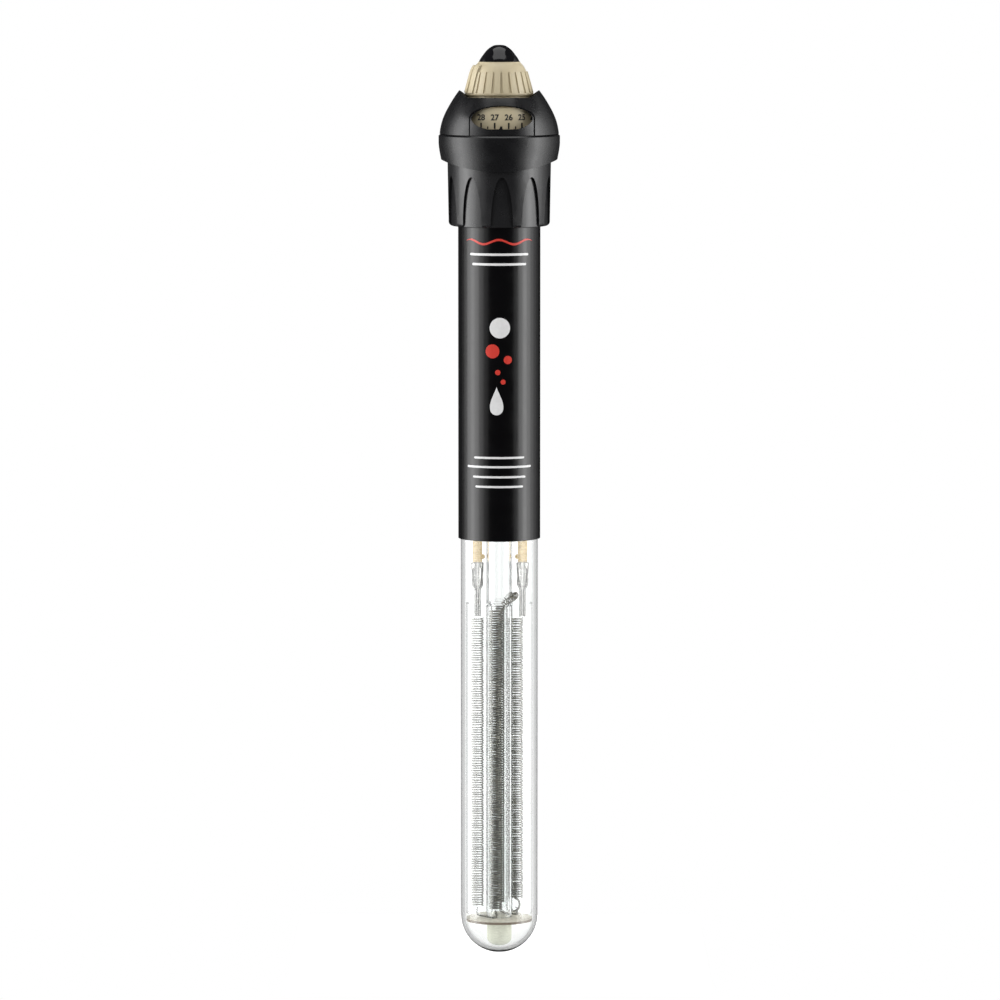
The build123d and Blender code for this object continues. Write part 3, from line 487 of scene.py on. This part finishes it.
# ---------------------------------------------------------------- glass

GLASS_WALL = 1.3 * MM
GLASS_BOTTOM_EXTRA = 0.25 * MM
GLASS_SEGMENTS = 128
WALL_STEPS = 12
BOTTOM_STEPS = 20
NEAR_POLE = -84
RIM_STEPS = 6
ELEMENT_WALL = 0.6 * MM
SPACER_WALL = 0.7 * MM
THIN_TUBE_BEVEL = 0.07 * MM
THIN_TUBE_SEGMENTS = 48


def make_glass_envelope():
    """Outer tube: fire-polished rim, even wall and a round bottom that is a little thicker at its middle."""
    inner = GLASS_RADIUS - GLASS_WALL
    top = glass_high.z
    middle = glass_low.z + GLASS_RADIUS
    heights = [middle + (top - middle) * step / WALL_STEPS for step in range(1, WALL_STEPS)]
    rim = (GLASS_RADIUS - GLASS_WALL / 2, top - GLASS_WALL / 2)
    profile = [(0.0, glass_low.z)]
    profile += arc((0.0, middle), GLASS_RADIUS, NEAR_POLE, 0, BOTTOM_STEPS)
    profile += [(GLASS_RADIUS, height) for height in heights]
    profile += arc(rim, GLASS_WALL / 2, 0, 180, RIM_STEPS)
    profile += [(inner, height) for height in reversed(heights)]
    for radius, height in arc((0.0, middle), inner, 0, NEAR_POLE, BOTTOM_STEPS):
        profile.append((radius, height + GLASS_BOTTOM_EXTRA * (1 - radius / inner)))
    profile.append((0.0, middle - inner + GLASS_BOTTOM_EXTRA))
    slot_piece(lathe("glass_envelope", profile, GLASS_SEGMENTS), "borosilicate_glass", ["glass_tube"])


def make_thin_tube(name, node, wall):
    """Thin glass tube, cut off square, with a fine bevel at each rim."""
    low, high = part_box(node)
    radius = (high.x - low.x) / 2
    inner = radius - wall
    lower = [(inner, low.z + THIN_TUBE_BEVEL), (inner + THIN_TUBE_BEVEL, low.z),
             (radius - THIN_TUBE_BEVEL, low.z), (radius, low.z + THIN_TUBE_BEVEL)]
    upper = [(r, high.z + low.z - z) for r, z in reversed(lower)]
    piece = lathe(name, lower + upper, THIN_TUBE_SEGMENTS, middle_of(node))
    slot_piece(piece, "borosilicate_glass", [node])


# ---------------------------------------------------------------- heating wire

COIL_WIRE_RADIUS = {"front": 0.27 * MM, "left": 0.19 * MM, "right": 0.25 * MM, "back": 0.24 * MM}
COIL_SEEDS = {"front": 3, "left": 4, "right": 5, "back": 6}
COIL_PITCH = 0.82 * MM
COIL_LEAN = 0.10 * MM
COIL_SWELL = 0.05 * MM
COIL_CLEARANCE = 0.06 * MM
COIL_END_GAP = 0.3 * MM
TURN_STEPS = 14

# Last turn of the right coil, pulled out into an upright loop
LOOP_HEIGHT = 2.7 * MM
LOOP_HALF_WIDTH = 1.75 * MM
LOOP_HALF_HEIGHT = 2.2 * MM
LOOP_WIRE_RADIUS = 0.38 * MM
LOOP_LEFT = 0.75 * MM
LOOP_FORWARD = 1.6 * MM
LOOP_DEPTH = 0.8 * MM
LOOP_RISE = 0.9 * MM
LOOP_START = 120
LOOP_SWEEP = 330
LOOP_STEPS = 40

# Middle of the tight coil that runs from the front coil's top over the right tube into the back coil
TOP_LINK_ROUTE = [Vector(place) * MM for place in (
    (0.9, -7.0, 118.2), (1.5, -7.0, 120.3), (3.6, -5.7, 121.4), (5.3, -2.9, 122.2), (5.62, 0.6, 122.5),
    (5.2, 3.9, 121.9), (3.2, 6.4, 120.9), (1.8, 7.1, 118.4))]
TOP_LINK_RADIUS = 0.85 * MM
TOP_LINK_PITCH = 0.95 * MM
TOP_LINK_WIRE = 0.13 * MM
TOP_LINK_STEPS = 60
BOTTOM_LINK_INSET = 0.5 * MM
BOTTOM_LINK_KNEE = 0.5 * MM
BOTTOM_LINK_BOW = 0.1 * MM
BOTTOM_LINK_RADIUS = 0.30 * MM
BOTTOM_LINK_PITCH = 0.9 * MM
BOTTOM_LINK_WIRE = 0.17 * MM
BOTTOM_LINK_STEPS = 24


def helix(centre, reach, low, high, seed):
    """Points of a hand-wound coil: its turns lean and wander a little."""
    draw = random.Random(seed)
    turns = max(1, round((high - low) / COIL_PITCH))
    drift = [draw.uniform(-1, 1) for _ in range(turns + 2)]
    points = []
    for step in range(turns * TURN_STEPS + 1):
        turn = step / TURN_STEPS
        whole = int(turn)
        wander = between(drift[whole], drift[whole + 1], turn - whole)
        angle = 2 * math.pi * turn
        lean = COIL_LEAN * wander
        swell = reach + COIL_SWELL * wander
        points.append(Vector((
            centre[0] + swell * math.cos(angle) + lean / 2,
            centre[1] + swell * math.sin(angle),
            low + (high - low) * step / (turns * TURN_STEPS) + lean)))
    return points


def make_coil(side):
    """Wound heating coil. The right one ends higher, above its loop."""
    node = "heating_coil_" + side
    low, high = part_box(node)
    wire = COIL_WIRE_RADIUS[side]
    reach = (high.x - low.x) / 2 - wire - COIL_CLEARANCE
    bottom = low.z + COIL_END_GAP
    if side == "right":
        bottom += LOOP_HEIGHT
    points = helix(middle_of(node), reach, bottom, high.z - COIL_END_GAP, COIL_SEEDS[side])
    slot_piece(tube_along("coil_" + side, points, wire), "resistance_wire", [node])


def make_top_link():
    points = wound_along(TOP_LINK_ROUTE, TOP_LINK_RADIUS, TOP_LINK_PITCH, TOP_LINK_STEPS)
    slot_piece(tube_along("coil_link_top", points, TOP_LINK_WIRE), "resistance_wire", ["top_link"])


def make_bottom_link(side):
    """Loose turns under the tubes, from the side coil to the front or back one."""
    node = "bottom_link_" + side
    low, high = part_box(node)
    left, right = low.x + BOTTOM_LINK_INSET, high.x - BOTTOM_LINK_INSET
    front, back = low.y + BOTTOM_LINK_INSET, high.y - BOTTOM_LINK_INSET
    first, last = ((right, front), (left, back)) if side == "right" else ((left, back), (right, front))
    floor = low.z + BOTTOM_LINK_INSET
    route = [
        (*first, high.z),
        (*first, floor + BOTTOM_LINK_KNEE),
        ((left + right) / 2, (front + back) / 2, floor + BOTTOM_LINK_BOW),
        (*last, floor + BOTTOM_LINK_KNEE),
        (*last, high.z)]
    points = wound_along(route, BOTTOM_LINK_RADIUS, BOTTOM_LINK_PITCH, BOTTOM_LINK_STEPS)
    slot_piece(tube_along("coil_" + node, points, BOTTOM_LINK_WIRE), "resistance_wire", [node])


def make_coil_loop():
    """Last turn of the right coil, pulled out into an upright loop."""
    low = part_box("heating_coil_right")[0]
    middle_x, middle_y = middle_of("heating_coil_right")
    points = []
    for step in range(LOOP_STEPS + 1):
        share = step / LOOP_STEPS
        angle = math.radians(LOOP_START + LOOP_SWEEP * share)
        points.append(Vector((
            middle_x - LOOP_LEFT + LOOP_HALF_WIDTH * math.cos(angle),
            middle_y - LOOP_FORWARD + LOOP_DEPTH * share,
            low.z + LOOP_RISE + LOOP_HALF_HEIGHT * math.sin(angle))))
    slot_piece(tube_along("coil_loop_right", points, LOOP_WIRE_RADIUS, 8), "resistance_wire")


# ---------------------------------------------------------------- crimps

# Depths below the top of the crimp, and half sizes of its folded section
CRIMP_BARREL_LENGTH = 7.4 * MM
CRIMP_NECK_END = 9.6 * MM
CRIMP_TOP_HALF_WIDTH = 1.92 * MM
CRIMP_LOW_HALF_WIDTH = 1.76 * MM
CRIMP_HALF_DEPTH = 1.25 * MM
WIRE_END_HALF_WIDTH = 0.94 * MM
WIRE_END_HALF_DEPTH = 0.80 * MM
CRIMP_BAND_SHARE = 0.18
# Half of the open angle at the front, in degrees
CRIMP_BAND_OPENING = 24
CRIMP_SLOT_OPENING = 26
CRIMP_SLOT_SPREAD = 62
CRIMP_NECK_OPENING = 60
WIRE_END_OPENING = 40
CRIMP_SHEET = 0.36 * MM
CRIMP_EDGE_ROUND = 0.08 * MM
CRIMP_ROWS = 44
CRIMP_AROUND = 22


def crimp_section(depth):
    """Half width, half depth and half opening of the crimp, this far below its top."""
    if depth < CRIMP_BARREL_LENGTH:
        share = depth / CRIMP_BARREL_LENGTH
        opening = CRIMP_BAND_OPENING
        if share > CRIMP_BAND_SHARE:
            swing = math.sin(math.pi * (share - CRIMP_BAND_SHARE) / (1 - CRIMP_BAND_SHARE))
            opening = CRIMP_SLOT_OPENING + CRIMP_SLOT_SPREAD * max(0.0, swing)
        return between(CRIMP_TOP_HALF_WIDTH, CRIMP_LOW_HALF_WIDTH, share), CRIMP_HALF_DEPTH, opening
    if depth < CRIMP_NECK_END:
        share = (depth - CRIMP_BARREL_LENGTH) / (CRIMP_NECK_END - CRIMP_BARREL_LENGTH)
        ease = share * share * (3 - 2 * share)
        return (between(CRIMP_LOW_HALF_WIDTH, WIRE_END_HALF_WIDTH, ease),
                between(CRIMP_HALF_DEPTH, WIRE_END_HALF_DEPTH, ease),
                between(CRIMP_NECK_OPENING, WIRE_END_OPENING, ease))
    return WIRE_END_HALF_WIDTH, WIRE_END_HALF_DEPTH, WIRE_END_OPENING


def make_crimp(side):
    """Stamped crimp: a wide barrel folded round the terminal, a taper, and a narrow barrel for the wire."""
    low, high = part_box("crimp_" + side)
    middle_x = (low.x + high.x) / 2
    length = high.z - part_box("lead_strip_" + side)[0].z
    vertices, faces = [], []
    for row in range(CRIMP_ROWS + 1):
        depth = length * row / CRIMP_ROWS
        half_width, half_depth, opening = crimp_section(depth)
        for step in range(CRIMP_AROUND + 1):
            angle = math.radians(-90 + opening + (360 - 2 * opening) * step / CRIMP_AROUND)
            x = middle_x + half_width * math.cos(angle)
            vertices.append((x, half_depth * math.sin(angle), high.z - depth))
    for row in range(CRIMP_ROWS):
        for step in range(CRIMP_AROUND):
            first = row * (CRIMP_AROUND + 1) + step
            below = first + CRIMP_AROUND + 1
            faces.append((first, first + 1, below + 1, below))
    piece = new_object("stamped_crimp_" + side, vertices, faces)
    sheet = piece.modifiers.new("sheet", "SOLIDIFY")
    sheet.thickness = CRIMP_SHEET
    sheet.offset = 0.0
    rounding = piece.modifiers.new("rounding", "BEVEL")
    rounding.width = CRIMP_EDGE_ROUND
    rounding.segments = 2
    slot_piece(piece, "tinned_metal", ["crimp_" + side, "lead_strip_" + side])


# ---------------------------------------------------------------- printing

INK_LIFT = 0.02 * MM
INK_THICKNESS = 0.03 * MM
PRINT_CUT = 0.6 * MM

# Heights of the printed marks, and sizes of the bars and discs, in mm
WAVE_Z = 242.9
UPPER_BARS = {238.7: 21.5, 235.4: 19.5}
LOWER_BARS = {170.4: 18.0, 167.3: 24.0, 163.9: 19.0, 160.6: 17.0}
UPPER_BAR_HEIGHT = 0.8
LOWER_BAR_HEIGHT = 0.7
RED_BUBBLES = [(-2.3, 206.3, 2.35), (2.9, 203.4, 1.4), (-0.5, 199.2, 0.9), (1.3, 196.0, 0.85)]
WHITE_BUBBLE = (0.2, 214.1, 3.45)
WHITE_DROP = (-0.9, 189.6, 3.3)
WAVE_HALF_LENGTH = 12.6 * MM
WAVE_HEIGHT = 0.75 * MM
WAVE_THICKNESS = 0.75 * MM
WAVE_COUNT = 2.4
WAVE_PHASE = 0.4
WAVE_TAPER = 6
WAVE_TIP = 0.12
WAVE_STEPS = 72
DISC_STEPS = 40
DROP_STEPS = 48
DROP_STRETCH = 1.45
DROP_POINT = 1.6


def wrap(flat, radius, middle_angle=0.0):
    """Bends a flat drawing round the tube. Flat x runs round the front to the right, y is the height."""
    for vertex in flat.data.vertices:
        x, y, depth = vertex.co
        angle = x / radius + middle_angle
        reach = radius + depth
        vertex.co = (reach * math.sin(angle), -reach * math.cos(angle), y)


def add_flat_face(bm, outline):
    bm.faces.new([bm.verts.new((x, y, INK_LIFT)) for x, y in outline])


def raised_print(name, bm, radius, middle_angle=0.0):
    """Object from a flat drawing, given the thickness of the ink and bent round the tube."""
    grown = bmesh.ops.extrude_face_region(bm, geom=bm.faces[:])
    for element in grown["geom"]:
        if isinstance(element, bmesh.types.BMVert):
            element.co.z += INK_THICKNESS
    bmesh.ops.recalc_face_normals(bm, faces=bm.faces)
    mesh = bpy.data.meshes.new(name)
    bm.to_mesh(mesh)
    bm.free()
    piece = link_object(name, mesh)
    wrap(piece, radius, middle_angle)
    return piece


def sleeve_print(name, outlines, material):
    """Raised print on the sleeve from flat closed outlines, cut fine enough to bend."""
    bm = bmesh.new()
    for outline in outlines:
        add_flat_face(bm, outline)
    bmesh.ops.triangulate(bm, faces=bm.faces)
    left = min(v.co.x for v in bm.verts)
    right = max(v.co.x for v in bm.verts)
    for index in range(1, int((right - left) / PRINT_CUT) + 1):
        everything = bm.verts[:] + bm.edges[:] + bm.faces[:]
        place = (left + index * PRINT_CUT, 0, 0)
        bmesh.ops.bisect_plane(bm, geom=everything, plane_co=place, plane_no=(1, 0, 0))
    finish_piece(raised_print(name, bm, SLEEVE_RADIUS), material, "housing")


def disc_outline(x, y, radius):
    """Circle, from its middle and radius in mm."""
    points = []
    for step in range(DISC_STEPS):
        angle = 2 * math.pi * step / DISC_STEPS
        points.append(((x + radius * math.cos(angle)) * MM, (y + radius * math.sin(angle)) * MM))
    return points


def drop_outline(x, y, radius):
    """Water drop with its point upwards, from its middle and radius in mm."""
    points = []
    for step in range(DROP_STEPS):
        angle = 2 * math.pi * step / DROP_STEPS
        narrow = math.sin(angle / 2) ** DROP_POINT
        points.append(((x + radius * math.sin(angle) * narrow) * MM,
                       (y + DROP_STRETCH * radius * math.cos(angle)) * MM))
    return points


def bar_outline(y, width, height):
    """Level bar with round ends, from its height on the tube and its size in mm."""
    half = height / 2
    reach = width / 2 - half
    points = []
    for side, angles in ((1, range(-90, 91, 30)), (-1, range(90, -91, -30))):
        for degrees in angles:
            angle = math.radians(degrees)
            points.append((side * (reach + half * math.cos(angle)) * MM, (y + half * math.sin(angle)) * MM))
    return points


def wave_outline():
    """Wavy line that tapers at both ends."""
    upper, lower = [], []
    for step in range(WAVE_STEPS + 1):
        share = step / WAVE_STEPS
        x = between(-WAVE_HALF_LENGTH, WAVE_HALF_LENGTH, share)
        middle = WAVE_Z * MM + WAVE_HEIGHT * math.sin(2 * math.pi * WAVE_COUNT * share + WAVE_PHASE)
        taper = min(1.0, WAVE_TAPER * share + WAVE_TIP, WAVE_TAPER * (1 - share) + WAVE_TIP)
        half = WAVE_THICKNESS / 2 * taper
        upper.append((x, middle + half))
        lower.append((x, middle - half))
    return upper + lower[::-1]


def make_sleeve_print():
    """Generic print: a wavy level line, thin bars, a column of bubbles and a drop."""
    upper_bars = [bar_outline(z, width, UPPER_BAR_HEIGHT) for z, width in UPPER_BARS.items()]
    lower_bars = [bar_outline(z, width, LOWER_BAR_HEIGHT) for z, width in LOWER_BARS.items()]
    bubbles = [disc_outline(*bubble) for bubble in RED_BUBBLES]
    sleeve_print("print_level_line", [wave_outline()], INK_RED)
    sleeve_print("print_upper_bars", upper_bars, INK_WHITE)
    sleeve_print("print_bubbles", bubbles, INK_RED)
    sleeve_print("print_drop_and_bubble", [disc_outline(*WHITE_BUBBLE), drop_outline(*WHITE_DROP)], INK_WHITE)
    sleeve_print("print_lower_bars", lower_bars, INK_WHITE)


# ---------------------------------------------------------------- dial

DIAL_LOWEST = 18
DIAL_HIGHEST = 32
DIAL_AT_REST = 26.56
DIAL_STEP = math.radians(17.7)
POINTER_ANGLE = math.asin(0.55 * MM / DIAL_RADIUS)
NUMBER_Z = dial_low.z + 3.85 * MM
NUMBER_SIZE = 2.75 * MM
NUMBER_BOLDNESS = 0.025
TICK_Z = dial_low.z + 0.1 * MM
DEGREE_TICK = (0.55 * MM, 2.05 * MM)
HALF_DEGREE_TICK = (0.4 * MM, 0.85 * MM)
LONGEST_DIAL_EDGE = 0.7 * MM


def digits_mesh(text):
    """Flat outline of a number, as mesh data."""
    curve = bpy.data.curves.new("digits_" + text, "FONT")
    curve.body = text
    curve.size = NUMBER_SIZE
    curve.align_x = "CENTER"
    curve.align_y = "CENTER"
    curve.offset = NUMBER_BOLDNESS * NUMBER_SIZE
    carrier = link_object("digits_" + text, curve)
    bpy.context.view_layer.update()
    mesh = bpy.data.meshes.new_from_object(carrier)
    bpy.data.objects.remove(carrier)
    return mesh


def dial_place(value):
    """Distance round the dial from the pointer to a temperature, to the right."""
    return -(value - DIAL_AT_REST) * DIAL_STEP * DIAL_RADIUS


def add_number(bm, value):
    flat = digits_mesh(str(value))
    flat.transform(Matrix.Translation((dial_place(value), NUMBER_Z, INK_LIFT)))
    bm.from_mesh(flat)
    bpy.data.meshes.remove(flat)


def add_tick(bm, value, size):
    width, height = size
    left = dial_place(value) - width / 2
    add_flat_face(bm, [(left, TICK_Z), (left + width, TICK_Z),
                       (left + width, TICK_Z + height), (left, TICK_Z + height)])


def make_dial_marks():
    """Numbers for each degree, with long ticks under them and short ticks between."""
    bm = bmesh.new()
    for value in range(DIAL_LOWEST, DIAL_HIGHEST + 1):
        add_number(bm, value)
    for value in range(DIAL_LOWEST, DIAL_HIGHEST + 1):
        add_tick(bm, value, DEGREE_TICK)
        if value < DIAL_HIGHEST:
            add_tick(bm, value + 0.5, HALF_DEGREE_TICK)
    bmesh.ops.triangulate(bm, faces=bm.faces)
    long_edges = [edge for edge in bm.edges if edge.calc_length() > LONGEST_DIAL_EDGE]
    bmesh.ops.subdivide_edges(bm, edges=long_edges, cuts=1)
    piece = raised_print("dial_marks", bm, DIAL_RADIUS, POINTER_ANGLE)
    finish_piece(piece, INK_BLACK, "knob_group")


# ---------------------------------------------------------------- camera and floor

CAMERA_DISTANCE = 1.9
CAMERA_ELEVATION = math.radians(6.04)
CAMERA_TARGET = Vector((0.00025, 0, 0.1548))
FRAME_WIDTH = 0.33825
SENSOR_WIDTH = 36.0
FLOOR_REACH = 0.07
FLOOR_DROP = 0.0002
FLOOR_GLOW = 0.80
FLOOR_GLOW_REFLECTED = 0.35


def make_camera():
    data = bpy.data.cameras.new("camera")
    data.sensor_width = SENSOR_WIDTH
    data.lens = SENSOR_WIDTH * CAMERA_DISTANCE / FRAME_WIDTH
    camera = link_object("camera", data)
    away = Vector((0, -math.cos(CAMERA_ELEVATION), math.sin(CAMERA_ELEVATION)))
    camera.location = CAMERA_TARGET + away * CAMERA_DISTANCE
    camera.rotation_euler = (-away).to_track_quat("-Z", "Y").to_euler()
    bpy.context.scene.camera = camera


def make_floor():
    """Small plain floor that glows white, a little less where the glass reflects it."""
    corners = [(-1, -1), (1, -1), (1, 1), (-1, 1)]
    vertices = [(x * FLOOR_REACH, y * FLOOR_REACH, 0) for x, y in corners]
    floor = new_object("floor", vertices, [(0, 1, 2, 3)])
    floor.location.z = cad_low.z - FLOOR_DROP
    f = Finish("floor")
    f.colour(f.mixed(f.ramp(f.noise(3.0), 0.0, 1.0), (0.34, 0.34, 0.34), (0.36, 0.36, 0.36)))
    f.set(Roughness=0.9, Emission_Color=(1, 1, 1, 1))
    path = f.add("ShaderNodeLightPath")
    dimmed = f.ramp(path.outputs["Glossy Depth"], FLOOR_GLOW, FLOOR_GLOW_REFLECTED, 0.0, 1.0)
    glow = f.math("MAXIMUM", path.outputs["Is Camera Ray"], dimmed)
    f.link(glow, f.shader.inputs["Emission Strength"])
    floor.data.materials.append(f.material)
    floor.visible_glossy = False
    floor.visible_diffuse = False


# ---------------------------------------------------------------- lights and surroundings

# Brightness of the surroundings
WORLD_IN_GLOSS = 0.04
WORLD_THROUGH_GLASS = 1.25
WORLD_RIGHT_SHARE = 0.78
WORLD_BEHIND_REFLECTION = 0.75
WORLD_FRONT_CARD = 0.7
WORLD_FRONT_DARK = 0.04
# Where they change, as parts of the direction they are seen in
RIGHT_STARTS, RIGHT_ENDS = 0.06, 0.22
CARD_EDGE, DARK_EDGE = 0.15, 0.30
BEHIND_STARTS, BEHIND_ENDS = -0.05, 0.05

# Side lights: azimuth of each upright strip from the front, and its share of the full brightness
LEFT_STRIPS = {-38: 0.09, -52: 0.31, -66: 0.72, -80: 1.0, -94: 0.65, -108: 0.17, -122: 0.03}
RIGHT_STRIPS = {48: 0.10, 62: 0.58, 76: 1.0, 90: 0.60, 104: 0.27, 118: 0.10, 132: 0.03}
STRIP_SIZE = (0.245, 1.5)
STRIP_DISTANCE = 1.0
SIDE_RADIANCE = 5.2


def area_light(name, direction, distance, size, radiance, show_in_gloss=True):
    """Soft box that faces the middle of the object. Direction is an azimuth from the front and an elevation,
    in degrees."""
    azimuth, elevation = [math.radians(v) for v in direction]
    data = bpy.data.lights.new(name, "AREA")
    data.shape = "RECTANGLE"
    data.size, data.size_y = size
    data.energy = radiance * size[0] * size[1] * math.pi
    light = link_object(name, data)
    away = Vector((math.sin(azimuth) * math.cos(elevation), -math.cos(azimuth) * math.cos(elevation),
                   math.sin(elevation)))
    light.location = Vector((0, 0, OBJECT_MIDDLE)) + away * distance
    light.rotation_euler = (-away).to_track_quat("-Z", "Y").to_euler()
    light.visible_camera = False
    light.visible_transmission = show_in_gloss
    light.visible_glossy = show_in_gloss


def side_lights(name, strips):
    """Tall soft light whose brightness fades towards both edges."""
    for azimuth, share in strips.items():
        area_light(f"{name}_{abs(azimuth)}", (azimuth, 0), STRIP_DISTANCE, STRIP_SIZE, SIDE_RADIANCE * share)


def make_world():
    """White surroundings for the camera and through glass, as with a bright card behind the object. They are
    dimmer to the right and in reflections. Reflections inside the tube also find a narrow card in front."""
    world = bpy.data.worlds.new("studio")
    world.use_nodes = True
    bpy.context.scene.world = world
    w = NodeTree(world.node_tree)
    path = w.add("ShaderNodeLightPath")
    direction = w.add("ShaderNodeTexCoord").outputs["Generated"]
    across = w.axis_of(direction, "X")
    right = WORLD_THROUGH_GLASS * WORLD_RIGHT_SHARE
    straight = w.ramp(across, WORLD_THROUGH_GLASS, right, RIGHT_STARTS, RIGHT_ENDS)
    front = w.ramp(w.math("ABSOLUTE", across), WORLD_FRONT_CARD, WORLD_FRONT_DARK, CARD_EDGE, DARK_EDGE)
    behind = w.ramp(w.axis_of(direction, "Y"), 0.0, 1.0, BEHIND_STARTS, BEHIND_ENDS)
    mirrored = w.math("ADD", w.math("MULTIPLY", behind, WORLD_BEHIND_REFLECTION),
                      w.math("MULTIPLY", w.math("SUBTRACT", 1.0, behind), front))
    reflected = w.math("MINIMUM", path.outputs["Glossy Depth"], 1.0)
    through = w.math("ADD", w.math("MULTIPLY", straight, w.math("SUBTRACT", 1.0, reflected)),
                     w.math("MULTIPLY", mirrored, reflected))
    transmitted = w.math("MULTIPLY", path.outputs["Is Transmission Ray"], through)
    seen = w.math("MAXIMUM", transmitted, path.outputs["Is Camera Ray"])
    background = w.tree.nodes["Background"]
    w.link(w.math("MAXIMUM", seen, WORLD_IN_GLOSS), background.inputs["Strength"])
    background.inputs["Color"].default_value = (1, 1, 1, 1)


def make_studio():
    make_world()
    side_lights("left_strip", LEFT_STRIPS)
    side_lights("right_strip", RIGHT_STRIPS)
    area_light("front_fill", (-12, 35), 1.6, (1.6, 1.2), 1.3, show_in_gloss=False)
    area_light("back_left_box", (-150, 10), 1.2, (0.5, 1.4), 1.6, show_in_gloss=False)
    area_light("back_right_box", (150, 10), 1.2, (0.5, 1.4), 1.6, show_in_gloss=False)
    area_light("top_box", (0, 88), 1.1, (1.0, 1.0), 1.6)
    bpy.context.scene.view_settings.view_transform = "Standard"


make_camera()
make_floor()
make_studio()
dress_cad_nodes()
make_glass_envelope()
for side in COIL_SEEDS:
    make_thin_tube("element_glass_" + side, "element_tube_" + side, ELEMENT_WALL)
make_thin_tube("spacer_glass", "spacer_tube", SPACER_WALL)
for side in COIL_SEEDS:
    make_coil(side)
make_top_link()
for side in ("left", "right"):
    make_bottom_link(side)
make_coil_loop()
for side in ("left", "right"):
    make_crimp(side)
make_sleeve_print()
make_dial_marks()
